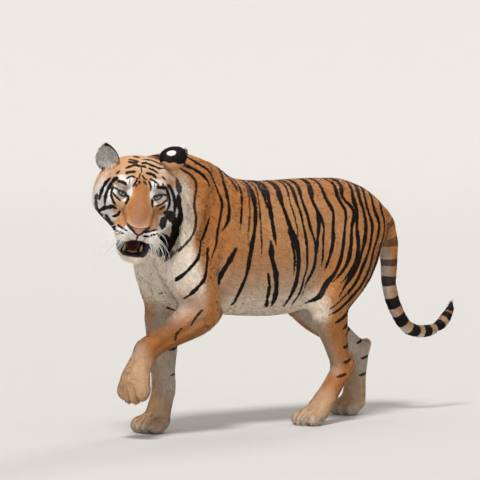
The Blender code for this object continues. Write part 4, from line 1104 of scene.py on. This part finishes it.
# the pink middle of the nose lies a little to one side
pink = ramp(nose, 0.0012, 0.0030) * ramp(np.abs(hx + 0.001), 0.0235, 0.0155) * ramp(aboveEdge, 0.0065, 0.0110)
for name, values in {
    "stripeGap": gap, "ink": ink, "mouthShade": inside * onHead, "lip": np.maximum(lips, lidSkin) * onHead,
    "noseDepth": nose, "nosePink": pink, "nodeOf": node, "hair": hairLength, "deep": coatDepth, "naked": naked,
}.items():
    keep(mesh, name, "FLOAT", values)
openEyes(mesh)
mesh.shade_smooth()
print("markings painted on the skin")


def readBack(mesh, name, width=1):
    data = mesh.attributes[name].data
    flat = np.zeros(len(data) * width, np.float32)
    data.foreach_get("vector" if width == 3 else "value", flat)
    return flat.reshape(-1, width).astype(float) if width > 1 else flat.astype(float)


# The coat, in pieces. For each: the solids it grows on, how many blades, and their width in mm.
coatPieces = {
    "faceCoat": {"nodes": ["head", "lower_jaw", "nose"], "part": "face", "blades": 64000, "width": 1.5},
    "ruffCoat": {"nodes": ["head", "lower_jaw", "ear_left", "ear_right"], "part": "ruff", "blades": 60000,
                 "width": 2.2},
    "neckCoat": {"nodes": ["neck"], "blades": 46000, "width": 2.8},
    "shoulderCoat": {"nodes": ["chest", "fore_left_upper", "fore_right_upper"], "blades": 62000, "width": 2.9},
    "flankCoat": {"nodes": ["belly"], "blades": 62000, "width": 3.0},
    "rumpCoat": {"nodes": ["rump", "hind_left_thigh", "hind_right_thigh"], "blades": 64000, "width": 2.9},
    "foreLegCoat": {"nodes": ["fore_left_forearm", "fore_left_paw", "fore_right_forearm", "fore_right_paw"],
                    "blades": 40000, "width": 2.0},
    "hindLegCoat": {"nodes": ["hind_left_shank", "hind_left_foot", "hind_right_shank", "hind_right_foot"],
                    "blades": 40000, "width": 2.0},
    "tailCoat": {"nodes": tailNodes, "blades": 22000, "width": 2.6},
}
# How much of the coat's depth a blade rises through, how far it strays and rolls, in degrees, how much
# lengths differ, how deep roots are sunk, in metres, the root's width and the tip's height as shares of those
# of the middle, and a blade's patch as a share of the map.
coatLook = {"lift": 0.9, "strayTurn": 9, "roll": 28, "lengthSpread": 0.22, "sink": 0.0004, "rootWidth": 0.7,
            "tipHeight": 0.75, "patch": 0.003}


def unwrap(corners, faces, name):
    # the skin's own shape laid flat, as a place on the map for each corner of each face
    flat = bpy.data.meshes.new(name)
    used, where = np.unique(faces.ravel(), return_inverse=True)
    flat.from_pydata([tuple(p) for p in corners[used]], [], where.reshape(-1, 3).tolist())
    obj = placed(name, flat)
    bpy.context.view_layer.objects.active = obj
    obj.select_set(True)
    flat.uv_layers.new(name="OFBake")
    bpy.ops.object.mode_set(mode="EDIT")
    bpy.ops.mesh.select_all(action="SELECT")
    bpy.ops.uv.smart_project(angle_limit=math.radians(70), island_margin=0.004)
    bpy.ops.object.mode_set(mode="OBJECT")
    spots = np.zeros(len(faces) * 6, np.float32)
    flat.uv_layers["OFBake"].uv.foreach_get("vector", spots)
    bpy.data.objects.remove(obj)
    bpy.data.meshes.remove(flat)
    return spots.reshape(-1, 3, 2).astype(float)


mesh.calc_loop_triangles()
triangles = np.zeros(len(mesh.loop_triangles) * 3, np.int32)
mesh.loop_triangles.foreach_get("vertices", triangles)
triangles = triangles.reshape(-1, 3)
points, normals = vertexRows(mesh, "co"), vertexRows(mesh, "normal")
lie, groundOfSkin = readBack(mesh, "lie", 3), readBack(mesh, "groundCopy", 3)
hairLength, coatDepth, naked, node = (readBack(mesh, name) for name in ("hair", "deep", "naked", "nodeOf"))
node = node.round().astype(int)
headRear = toHead(points)[:, 1]


def growCoat(name, piece):
    owner = node[triangles[:, 0]]
    mine = np.isin(owner, [fleshNodes.index(n) for n in piece["nodes"]])
    if "part" in piece:
        ahead = headRear[triangles[:, 0]] < 0.045
        onEar = np.isin(owner, [fleshNodes.index("ear_left"), fleshNodes.index("ear_right")])
        mine &= (ahead & ~onEar) if piece["part"] == "face" else (~ahead | onEar)
    mine &= naked[triangles].mean(axis=1) < 0.6
    faces = triangles[mine]
    a, b, c = (points[faces[:, k]] for k in range(3))
    area = np.linalg.norm(np.cross(b - a, c - a), axis=1) / 2
    hair = hairLength[faces].mean(axis=1)
    weight = area * (0.012 / hair.clip(0.006)) ** 0.8
    count = piece["blades"]
    spots = unwrap(points, faces, name + "Flat")
    rank = (np.arange(count) + rng.random(count)) / count * weight.sum()
    chosen = np.minimum(np.searchsorted(np.cumsum(weight), rank), len(faces) - 1)
    u, v = rng.random(count), rng.random(count)
    over = u + v > 1
    u[over], v[over] = 1 - u[over], 1 - v[over]
    share = np.column_stack([1 - u - v, u, v])
    corner = faces[chosen]
    mix = lambda values: (values[corner] * (share[:, :, None] if values.ndim > 1 else share)).sum(axis=1)
    root, normal, flow = mix(points), mix(normals), mix(lie)
    length, depth = mix(hairLength), mix(coatDepth)
    normal /= np.linalg.norm(normal, axis=1)[:, None].clip(1e-6)
    flow -= (flow * normal).sum(axis=1)[:, None] * normal
    flow /= np.linalg.norm(flow, axis=1)[:, None].clip(1e-6)
    # locks turn a little together, and single hairs stray
    wave = np.sin(root @ np.array((91, 57, 73)) + 2 * np.sin(root @ np.array((-43, 88, 61))))
    stray = np.radians(coatLook["strayTurn"]) * (rng.normal(size=count) + 0.7 * wave)
    aside = np.cross(flow, normal)
    flow = flow * np.cos(stray)[:, None] + aside * np.sin(stray)[:, None]
    roll = np.radians(coatLook["roll"]) * rng.normal(size=count)
    length = length * (1 + coatLook["lengthSpread"] * rng.normal(size=count)).clip(0.5, 1.6)
    across = np.cross(flow, normal) * np.cos(roll)[:, None] + normal * np.sin(roll)[:, None]
    width = piece["width"] / 2000 * (length / mix(hairLength).clip(1e-4)).clip(0.7, 1.3) ** 0.5
    high = depth * coatLook["lift"] * rng.uniform(0.65, 1.15, count) + coatLook["sink"]
    middle = root + flow * (length * 0.5)[:, None] + normal * high[:, None]
    tip = root + flow * length[:, None] + normal * (high * coatLook["tipHeight"])[:, None]
    start = root - normal * coatLook["sink"]
    halfRoot = across * (width * coatLook["rootWidth"])[:, None]
    rows = [start - halfRoot, start + halfRoot,
            middle - across * width[:, None], middle + across * width[:, None], tip]
    verts = np.stack(rows, axis=1).reshape(-1, 3)
    verts[:, 2] = np.maximum(verts[:, 2], 0.0)
    base = np.arange(count)[:, None] * 5
    blade = bpy.data.meshes.new(name)
    blade.vertices.add(count * 5)
    blade.vertices.foreach_set("co", (verts + np.array(shift)).astype(np.float32).ravel())
    loops = np.concatenate([base + (0, 1, 3, 2), base + (2, 3, 4)], axis=1)
    blade.loops.add(count * 7)
    blade.loops.foreach_set("vertex_index", loops.astype(np.int32).ravel())
    blade.polygons.add(count * 2)
    starts = np.column_stack([np.arange(count) * 7, np.arange(count) * 7 + 4])
    blade.polygons.foreach_set("loop_start", starts.astype(np.int32).ravel())
    blade.update(calc_edges=True)
    blade.shade_smooth()
    seen = root + flow * (length * 0.5)[:, None] + normal * (depth * 0.9)[:, None]
    # the markings at the root, the middle and the tip of each blade
    rings = []
    for spot in (seen - flow * (length * 0.42)[:, None], seen, seen + flow * (length * 0.45)[:, None]):
        blades = Places(spot, normal, node[corner[:, 0]])
        ground, gap, ink = markings(blades)
        smoothed = ~blades.on(*headNodes, "ear_left", "ear_right")
        ground[smoothed] = mix(groundOfSkin)[smoothed]
        rings.append(np.column_stack([ground, gap, ink]))
    # every other hair across the hollow of an ear is white
    whiteHair = rng.random(count) > 0.5
    for side in ("right", "left"):
        opening = np.array(earMatrix(side))[:3, 1]
        strand = blades.on("ear_" + side) & (normal @ opening < -0.1) & whiteHair
        for ring in rings:
            ring[strand, :3] = linearColour(furColours["white"])
    marked = np.stack([rings[k] for k in (0, 0, 1, 1, 2)], axis=1).reshape(-1, 5)
    keep(blade, "ground", "FLOAT_COLOR", marked[:, :3])
    for field, values in (("stripeGap", marked[:, 3]), ("ink", marked[:, 4]),
                          ("along", np.tile((0.0, 0.0, 0.55, 0.55, 1.0), count)),
                          ("stray", np.repeat(rng.random(count), 5))):
        keep(blade, field, "FLOAT", values)
    # each blade is a small patch of the map, at its root's place on the skin laid flat
    spot = (spots[chosen] * share[:, :, None]).sum(axis=1)
    outline = np.array(((0, 0), (1, 0), (1, 0.5), (0, 0.5), (0, 0.5), (1, 0.5), (0.5, 1)))
    place = (spot[:, None, :] + ((outline - 0.5) * coatLook["patch"])[None]).clip(0.0005, 0.9995)
    blade.uv_layers.new(name="OFBake")
    blade.uv_layers["OFBake"].uv.foreach_set("vector", place.astype(np.float32).ravel())
    blade.normals_split_custom_set_from_vertices(np.repeat(normal, 5, axis=0))
    return placed(name, blade)


coats = [growCoat(name, piece) for name, piece in coatPieces.items()]
print("coat:", sum(len(c.data.polygons) for c in coats) // 2, "blades")


# The output that is linked where a node is given as an input; the others give their first.
mainOutput = {"ShaderNodeAttribute": "Fac", "ShaderNodeTexCoord": "Object", "ShaderNodeMix": 2}


def connect(tree, node, inputs):
    # an input is another node, one of its sockets or a plain value
    for socket, value in inputs.items():
        if isinstance(value, bpy.types.Node):
            value = value.outputs[mainOutput.get(value.bl_idname, 0)]
        if isinstance(value, bpy.types.NodeSocket):
            tree.links.new(value, node.inputs[socket])
        else:
            node.inputs[socket].default_value = value


def addNode(tree, kind, inputs=None, **settings):
    # adds one node with its settings and links
    made = tree.nodes.new("ShaderNode" + kind)
    for name, value in settings.items():
        setattr(made, name, value)
    connect(tree, made, inputs or {})
    return made


def newMaterial(name, **sockets):
    material = bpy.data.materials.new(name)
    material.use_nodes = True
    shader = material.node_tree.nodes["Principled BSDF"]
    for socket, value in sockets.items():
        shader.inputs[socket.replace("_", " ")].default_value = value
    return material, material.node_tree, shader


def rgba(hexText):
    return (*linearColour(hexText), 1)


def furPattern(tree, edgeNoise):
    # the ground colour crossed by stripes whose edges are ragged by a few hairs
    ground, gap, ink = (addNode(tree, "Attribute", attribute_name=name) for name in ("ground", "stripeGap", "ink"))
    ragged = addNode(tree, "Math", {0: edgeNoise, 1: 0.0016, 2: gap}, operation="MULTIPLY_ADD")
    inside = addNode(tree, "MapRange", {"Value": ragged, "From Min": 0.0022, "From Max": 0.0008})
    strength = addNode(tree, "Math", {0: inside, 1: ink}, operation="MULTIPLY")
    stripe = rgba(furColours["stripe"])
    return addNode(tree, "Mix", {0: strength, 6: ground.outputs["Color"], 7: stripe}, data_type="RGBA")


# Tiger fur: straight guard hairs with a soft gloss, their roots darkened as painted shade where the hairs shade one
# another. Each pair is a range of brightness:
# from root to tip (the painted shade), from hair to hair, and from lock to lock.
fur = {"roughness": 0.60, "specular": 0.18, "paintedRootShade": (0.74, 1.08), "hairs": (0.84, 1.16), "locks": (0.90, 1.08)}


def makeFur():
    material, tree, shader = newMaterial("stripedTigerFur", Roughness=fur["roughness"],
                                         Specular_IOR_Level=fur["specular"])
    along, stray = (addNode(tree, "Attribute", attribute_name=name) for name in ("along", "stray"))
    colour = furPattern(tree, stray)
    # locks are about 25 mm across
    locks = addNode(tree, "TexNoise", {"Vector": addNode(tree, "TexCoord"), "Scale": 40.0, "Detail": 2.0})
    value = 1.0
    # the roots of the blades are darkened as painted shade
    for source, name, limits in ((along, "paintedRootShade", (0, 1)), (stray, "hairs", (0, 1)),
                                 (locks, "locks", (0.3, 0.7))):
        tone = addNode(tree, "MapRange", {"Value": source, "From Min": limits[0], "From Max": limits[1],
                                          "To Min": fur[name][0], "To Max": fur[name][1]})
        value = addNode(tree, "Math", {0: value, 1: tone}, operation="MULTIPLY")
    connect(tree, shader, {"Base Color": addNode(tree, "HueSaturation", {"Color": colour, "Value": value})})
    return material


# The skin under the coat: short fur, bare wet nose leather, dark lips, and the inside of the mouth, painted near
# black as shade.
bareSkin = {"nosePink": "#C98474", "noseBlack": "#1C1413", "lip": "#120C0C", "mouthShade": "#211011",
            "dry": 0.75, "wet": 0.34}


def makeSkin():
    material, tree, shader = newMaterial("furredSkin", Specular_IOR_Level=0.35)
    place = addNode(tree, "TexCoord")
    # hairs about 1 mm thick, drawn 2 mm so that they show
    hairs = addNode(tree, "TexNoise", {"Vector": place, "Scale": 420.0, "Detail": 3.0})
    tint = addNode(tree, "MapRange", {"Value": hairs, "From Min": 0.3, "From Max": 0.7, "To Min": 0.72,
                                      "To Max": 1.05})
    colour = addNode(tree, "HueSaturation", {"Color": furPattern(tree, hairs), "Value": tint})
    depth, pink, lip, mouthShade = (addNode(tree, "Attribute", attribute_name=name)
                               for name in ("noseDepth", "nosePink", "lip", "mouthShade"))
    leather = addNode(tree, "MapRange", {"Value": depth, "From Min": -0.0008, "From Max": 0.0006})
    # nose leather: pebbles about 1.4 mm across, pink in the middle and black round the edge
    pebbles = addNode(tree, "TexVoronoi", {"Vector": place, "Scale": 700.0})
    nose = addNode(tree, "Mix", {0: pink, 6: rgba(bareSkin["noseBlack"]), 7: rgba(bareSkin["nosePink"])},
                   data_type="RGBA")
    wet = 0.0
    # the inside of the mouth takes a near-black colour, which is painted shade
    for share, over in ((leather, nose), (lip, rgba(bareSkin["lip"])), (mouthShade, rgba(bareSkin["mouthShade"]))):
        colour = addNode(tree, "Mix", {0: share, 6: colour, 7: over}, data_type="RGBA")
        wet = addNode(tree, "Math", {0: wet, 1: share}, operation="MAXIMUM")
    rough = addNode(tree, "MapRange", {"Value": wet, "To Min": bareSkin["dry"], "To Max": bareSkin["wet"]})
    grain = addNode(tree, "Mix", {0: leather, 2: hairs, 3: pebbles})
    bump = addNode(tree, "Bump", {"Height": grain.outputs[0], "Distance": 0.0012, "Strength": 0.6})
    connect(tree, shader, {"Base Color": colour, "Roughness": rough, "Normal": bump})
    return material


def dress(piece, name, pattern, colours, relief=None, **sockets):
    # a small piece's material: two colours mixed by a fine pattern, which may also stand out a little
    material, tree, shader = newMaterial(name, **sockets)
    kind, settings = pattern
    fine = addNode(tree, kind, {"Vector": addNode(tree, "TexCoord"), **settings})
    inputs = {"Base Color": addNode(tree, "Mix", {0: fine, 6: colours[0], 7: colours[1]}, data_type="RGBA")}
    if relief:
        inputs["Normal"] = addNode(tree, "Bump", {"Height": fine, "Distance": relief[0], "Strength": relief[1]})
    connect(tree, shader, inputs)
    piece.data.materials.append(material)
    return piece


skin.data.materials.append(makeSkin())
furMaterial = makeFur()
for coat in coats:
    coat.data.materials.append(furMaterial)


# Eyes: a glossy cornea over a grey-green iris with a round pupil.
eyeColours = {"iris": "#A0A68C", "irisEdge": "#33372A", "white": "#54443A", "pupil": "#050505"}
# How far from the middle of the eye each colour begins and is full, in metres.
eyeRings = {"irisEdge": (0.0070, 0.0104), "pupil": (0.0046, 0.0040), "white": (0.0103, 0.0112)}


def makeEyes():
    verts, faces, fromAxis = [], [], []
    rounds, spokes = 40, 56
    radius = headPlace["eyeRadius"] - 0.0004
    for side in (1, -1):
        across, rise, look = eyeAxes(side)
        eye, start = Vector(eyeCentre(side)), len(verts)
        for i in range(rounds + 1):
            angle = math.pi * i / rounds
            dome = 1 - (math.sin(angle) * radius / (eyeForm["iris"] * 1.15)) ** 2
            bulge = eyeForm["cornea"] * max(0, dome) * (angle < 1.2)
            for k in range(spokes):
                turn = 2 * math.pi * k / spokes
                ray = look * math.cos(angle) + (across * math.cos(turn) + rise * math.sin(turn)) * math.sin(angle)
                verts.append(headMatrix @ (eye + ray * radius + look * bulge))
                fromAxis.append(math.sin(angle) * headPlace["eyeRadius"] if angle < 1.57 else 0.03)
        made = ringFaces(rounds + 1, spokes, start)
        faces += made if side > 0 else [(a, d, c, b) for a, b, c, d in made]
    eyes = newObject("eyes", verts, faces)
    keep(eyes.data, "fromAxis", "FLOAT", np.array(fromAxis))
    material, tree, shader = newMaterial("wetCornea", Roughness=0.04, Coat_Weight=1.0, Coat_Roughness=0.01,
                                         IOR=1.376)
    axis = addNode(tree, "Attribute", attribute_name="fromAxis")
    streaks = addNode(tree, "TexNoise", {"Vector": addNode(tree, "TexCoord"), "Scale": 900.0, "Detail": 3.0})
    tone = addNode(tree, "MapRange", {"Value": streaks, "From Min": 0.3, "From Max": 0.7, "To Min": 0.75,
                                      "To Max": 1.15})
    colour = rgba(eyeColours["iris"])
    for name, (start, full) in eyeRings.items():
        ring = addNode(tree, "MapRange", {"Value": axis, "From Min": start, "From Max": full})
        colour = addNode(tree, "Mix", {0: ring, 6: colour, 7: rgba(eyeColours[name])}, data_type="RGBA")
        if name == "irisEdge":     # streaks run over the iris only
            colour = addNode(tree, "HueSaturation", {"Color": colour, "Value": tone})
    connect(tree, shader, {"Base Color": colour})
    eyes.data.materials.append(material)
    return eyes


def tube(path, radii, corners=8, squash=1.0, closed=False):
    # a round tube along a path; returns its vertices and faces
    verts = []
    count = len(path)
    side = None
    for i, p in enumerate(path):
        if closed:
            ahead = (path[(i + 1) % count] - path[i - 1]).normalized()
        else:
            ahead = (path[min(i + 1, count - 1)] - path[max(i - 1, 0)]).normalized()
        side = ahead.orthogonal().normalized() if side is None else (side - side.dot(ahead) * ahead).normalized()
        other = ahead.cross(side)
        for k in range(corners):
            turn = 2 * math.pi * k / corners
            verts.append(p + (side * math.cos(turn) + other * math.sin(turn) * squash) * radii[i])
    return verts, ringFaces(count, corners, closed=closed) + ([] if closed else endFaces(count, corners))


def joined(name, pieces):
    verts, faces = [], []
    for more, shapes in pieces:
        start = len(verts)
        verts += list(more)
        faces += [tuple(start + i for i in shape) for shape in shapes]
    return newObject(name, verts, faces)


def makeLidRims():
    pieces = []
    for side in (1, -1):
        across, rise, look = eyeAxes(side)
        eye = Vector(eyeCentre(side))
        path, radii = [], []
        steps = 30
        for k in range(steps * 2):
            t = -math.cos(math.pi * k / steps)
            high, low = lidLine(np.array(t))
            b = float(high) if k <= steps else float(low)
            a = t * eyeForm["halfLength"]
            reach = headPlace["eyeRadius"] + 0.0009
            ahead = math.sqrt(max(reach ** 2 - a * a - b * b, 1e-6))
            path.append(headMatrix @ (eye + across * a + rise * b + look * ahead))
            radii.append(eyeForm["rim"] * (1.60 if k <= steps else 1.05))
        pieces.append(tube(path, radii, 8, closed=True))
        # the dark corner towards the nose
        corner = [eye + across * (-eyeForm["halfLength"] + d) + rise * e + look * f
                  for d, e, f in ((0.002, 0, 0.0105), (-0.004, -0.0015, 0.0100), (-0.009, -0.005, 0.0075))]
        pieces.append(tube([headMatrix @ p for p in corner], [0.0024, 0.0022, 0.0008], 8))
    # the edge of an eyelid: bare black skin kept wet by tears, so it shines in thin lines
    return dress(joined("lidRims", pieces), "moistLidEdge", ("TexNoise", {"Scale": 600.0}),
                 (rgba("#0E0A0A"), rgba("#2A1D1B")), (0.0006, 0.5), Roughness=0.28, Specular_IOR_Level=0.5)


# Whiskers: four rows on each side; measures in metres, in head coordinates.
whiskerForm = {"rows": (-0.083, -0.092, -0.101, -0.109), "first": 0.034, "last": 0.064, "perRow": 6,
               "thick": 0.0009, "length": (0.080, 0.125)}


def makeWhiskers():
    pieces = []
    form = whiskerForm
    tree = BVHTree.FromPolygons([Vector(p) for p in points], triangles.tolist())
    shortest, longest = form["length"]
    forward = headMatrix.to_3x3() @ Vector((0, 1, 0))
    for side in (1, -1):
        for r, z in enumerate(form["rows"]):
            for k in range(form["perRow"]):
                share = (k + rng.random() * 0.5) / (form["perRow"] - 0.5)
                x = side * (form["first"] + share * (form["last"] - form["first"]))
                z2 = z - 0.006 * share + rng.normal() * 0.0012
                hit = tree.ray_cast(headMatrix @ Vector((x, -0.30, z2)), forward)
                if hit[0] is None:
                    continue
                length = shortest + (longest - shortest) * rng.random() * (0.6 + 0.4 * share)
                first = Vector((side * (0.45 + 0.45 * share), -0.70 + 0.35 * share,
                                -0.20 - 0.10 * r + rng.normal() * 0.08))
                droop = Vector((-side * (0.05 if side < 0 else 0.35), 0.50, -0.42 + rng.normal() * 0.10))
                start = headMatrix.inverted() @ hit[0]
                path = [headMatrix @ (start + (first * t + droop * t * t) * length)
                        for t in np.linspace(-0.02, 1, 12)]
                radii = [form["thick"] * (1 - 0.80 * t) for t in np.linspace(0, 1, 12)]
                pieces.append(tube(path, radii, 5))
    # whisker: stiff keratin hair, white and smooth, so it catches the light in a thin line
    return dress(joined("whiskers", pieces), "whiskerKeratin", ("TexNoise", {"Scale": 80.0}),
                 (rgba("#E9E4DA"), rgba("#FBFAF6")), Roughness=0.35, Specular_IOR_Level=0.5)


# Teeth: base, tip and radius in head coordinates; the lower canines show behind the lip.
toothForm = {
    "canines": [((0.0225, -0.074, -0.176), (0.0235, -0.081, -0.146), 0.0056),
                ((-0.0325, -0.074, -0.176), (-0.0335, -0.081, -0.146), 0.0056),
                ((0.027, -0.088, -0.108), (0.0275, -0.092, -0.1315), 0.0066),
                ((-0.027, -0.088, -0.108), (-0.0275, -0.092, -0.1315), 0.0066)],
    "incisorHeight": 0.0065,
}


def makeTeeth():
    pieces = []
    for base, tip, radius in toothForm["canines"]:
        base, tip = Vector(base), Vector(tip)
        bow = Vector((0, -0.003, 0))
        path = [headMatrix @ (base.lerp(tip, t) + bow * math.sin(math.pi * t)) for t in np.linspace(0, 1, 9)]
        radii = [radius * (1 - t ** 1.6) ** 0.75 + 0.0003 for t in np.linspace(0, 1, 9)]
        pieces.append(tube(path, radii, 12))
    for jaw, z, step in ((1, -0.1765, toothForm["incisorHeight"]), (-1, -0.1165, -toothForm["incisorHeight"])):
        for k in range(6):
            x = (k - 2.5) * 0.0058 - (0.006 if jaw > 0 else 0)
            y = -0.090 + 0.0012 * (k - 2.5) ** 2
            path = [headMatrix @ Vector((x, y, z + step * t)) for t in np.linspace(0, 1, 5)]
            pieces.append(tube(path, [0.0026, 0.0028, 0.0026, 0.0020, 0.0010], 8, 0.7))
    # tooth enamel: glossy ivory with darker stains, both tones darkened to a dull yellow as painted shade inside
    # the mouth
    return dress(joined("teeth", pieces), "shadedToothEnamel", ("TexNoise", {"Scale": 160.0, "Detail": 3.0}),
                 (rgba("#6A5426"), rgba("#A8925A")), Roughness=0.22, IOR=1.62)


# Rows of the tongue from its root to its tip: x, y, z, half width and half height.
tongueForm = [(0.000, 0.010, -0.150, 0.020, 0.009), (-0.001, -0.015, -0.156, 0.024, 0.009),
              (-0.003, -0.040, -0.163, 0.024, 0.008), (-0.005, -0.062, -0.169, 0.021, 0.006),
              (-0.006, -0.077, -0.172, 0.013, 0.004), (-0.006, -0.082, -0.173, 0.004, 0.002)]


def makeTongue():
    rows = smoothRows(tongueForm, 5)
    corners = 24
    verts = []
    for x, y, z, half, thick in rows:
        for k in range(corners):
            turn = 2 * math.pi * k / corners
            groove = 0.35 * thick * math.exp(-(math.cos(turn) / 0.25) ** 2) * (math.sin(turn) > 0)
            verts.append(headMatrix @ Vector((x + half * math.cos(turn), y, z + thick * math.sin(turn) - groove)))
    faces = ringFaces(len(rows), corners) + endFaces(len(rows), corners)
    # tongue: wet pink flesh covered in small rough points, so it shines in specks; its colours are darkened as
    # painted shade inside the mouth
    return dress(newObject("tongueBlade", verts, faces), "shadedTongueFlesh", ("TexVoronoi", {"Scale": 450.0}),
                 (rgba("#6B3A38"), rgba("#452325")), (0.001, 0.7), Roughness=0.38)


clawForm = {"length": 0.016, "radius": 0.0040}


def makeClaws():
    pieces = []
    for paw in paws.values():
        _, toes, along, side, top = pawFrame(paw)
        half = paw["half"]
        for k in toeOrder:
            ahead = half * 0.40 - toeForm["setBack"] * abs(k)
            base = toes + side * (k * half * toeForm["spacing"]) + along * ahead + top * (half * 0.16)
            path, radii = [], []
            for t in np.linspace(0, 1, 7):
                path.append(base + along * clawForm["length"] * t - top * clawForm["length"] * 0.8 * t * t)
                radii.append(clawForm["radius"] * (1 - t) ** 0.7 + 0.0003)
            pieces.append(tube([Vector((p.x, p.y, max(p.z, 0.004))) for p in path], radii, 8, 0.7))
    # claw: layered horn, dark at the root and pale at the point, with a dull gloss
    return dress(joined("claws", pieces), "clawHorn", ("TexNoise", {"Scale": 300.0, "Detail": 3.0}),
                 (rgba("#3A2C22"), rgba("#A08C74")), Roughness=0.32, IOR=1.55)


eyes = makeEyes()
lidRims = makeLidRims()
whiskers = makeWhiskers()
teeth = makeTeeth()
tongue = makeTongue()
claws = makeClaws()
print("eyes, whiskers, teeth, tongue and claws made")


# A pale painted cove: a round floor that sweeps up into a wall, and one large soft lamp.
studio = {
    "paint": "#CBC8C3", "floorReach": 24.0, "sweep": 7.0, "wallHeight": 16.0,
    "keyAzimuth": 38, "keyElevation": 54, "keyStrength": 2.65, "spread": 14,
    "rimAzimuth": 205, "rimElevation": 35, "rimStrength": 0.6,
    "skyColour": "#F3F5F8", "skyStrength": 0.62,
}


def direction(azimuth, elevation):
    # towards a place at these angles, in degrees; azimuth 0 is straight ahead of the animal
    turn, rise = math.radians(azimuth), math.radians(elevation)
    return Vector((math.sin(turn) * math.cos(rise), -math.cos(turn) * math.cos(rise), math.sin(rise)))


def makeStudio():
    reach, sweep = studio["floorReach"], studio["sweep"]
    profile = [(0.01, 0.0), (6.0, 0.0), (reach - sweep, 0.0)]
    for turn in math.pi / 2 * np.arange(1, 13) / 12:
        profile.append((reach - sweep * (1 - math.sin(turn)), sweep * (1 - math.cos(turn))))
    profile.append((reach, studio["wallHeight"]))
    spokes = 96
    verts = [(r * math.cos(2 * math.pi * k / spokes), r * math.sin(2 * math.pi * k / spokes), h)
             for r, h in profile for k in range(spokes)]
    faces = ringFaces(len(profile), spokes) + endFaces(len(profile), spokes)[:1]
    cove = newObject("cove", np.array(verts) - np.array(shift), faces)
    cove.visible_shadow = False
    # matt wall paint laid on with a roller, which leaves a faint texture
    paint = linearColour(studio["paint"])
    dress(cove, "rolledPaint", ("TexNoise", {"Scale": 6.0, "Detail": 4.0}),
          ((*[0.97 * c for c in paint], 1), (*paint, 1)), Roughness=0.9, Specular_IOR_Level=0.1)
    world = bpy.data.worlds.new("studioAir")
    bpy.context.scene.world = world
    world.use_nodes = True
    back = world.node_tree.nodes["Background"]
    back.inputs["Color"].default_value = rgba(studio["skyColour"])
    back.inputs["Strength"].default_value = studio["skyStrength"]
    for name in ("key", "rim"):
        towards = direction(studio[name + "Azimuth"], studio[name + "Elevation"])
        light = bpy.data.lights.new(name + "Light", "SUN")
        light.energy = studio[name + "Strength"]
        light.angle = math.radians(studio["spread"])
        lamp = placed(name + "Light", light)
        lamp.location = towards * 8
        lamp.rotation_euler = towards.to_track_quat("Z", "Y").to_euler()
    bpy.context.scene.view_settings.view_transform = "Standard"


cameraView = {
    "azimuth": 48, "elevation": 4, "distance": 16, "sensor": 36, "farEnd": 200,
    "target": (0, 0, 0.45),
    "lens": 342, "shiftX": -0.03485, "shiftY": 0.12103,
}


def makeCamera():
    back = direction(cameraView["azimuth"], cameraView["elevation"])
    data = bpy.data.cameras.new("camera")
    data.sensor_width = cameraView["sensor"]
    data.lens = cameraView["lens"]
    data.shift_x = cameraView["shiftX"]
    data.shift_y = cameraView["shiftY"]
    data.clip_end = cameraView["farEnd"]
    camera = placed("camera", data)
    camera.location = Vector(cameraView["target"]) + shift + back * cameraView["distance"]
    camera.rotation_euler = back.to_track_quat("Z", "Y").to_euler()
    bpy.context.scene.camera = camera


makeStudio()
makeCamera()
skin.data.transform(Matrix.Translation(shift))
for piece in [skin, eyes, lidRims, whiskers, teeth, tongue, claws] + coats:
    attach(piece, "root")
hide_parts(*fleshNodes)
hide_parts("eye_left", "eye_right")
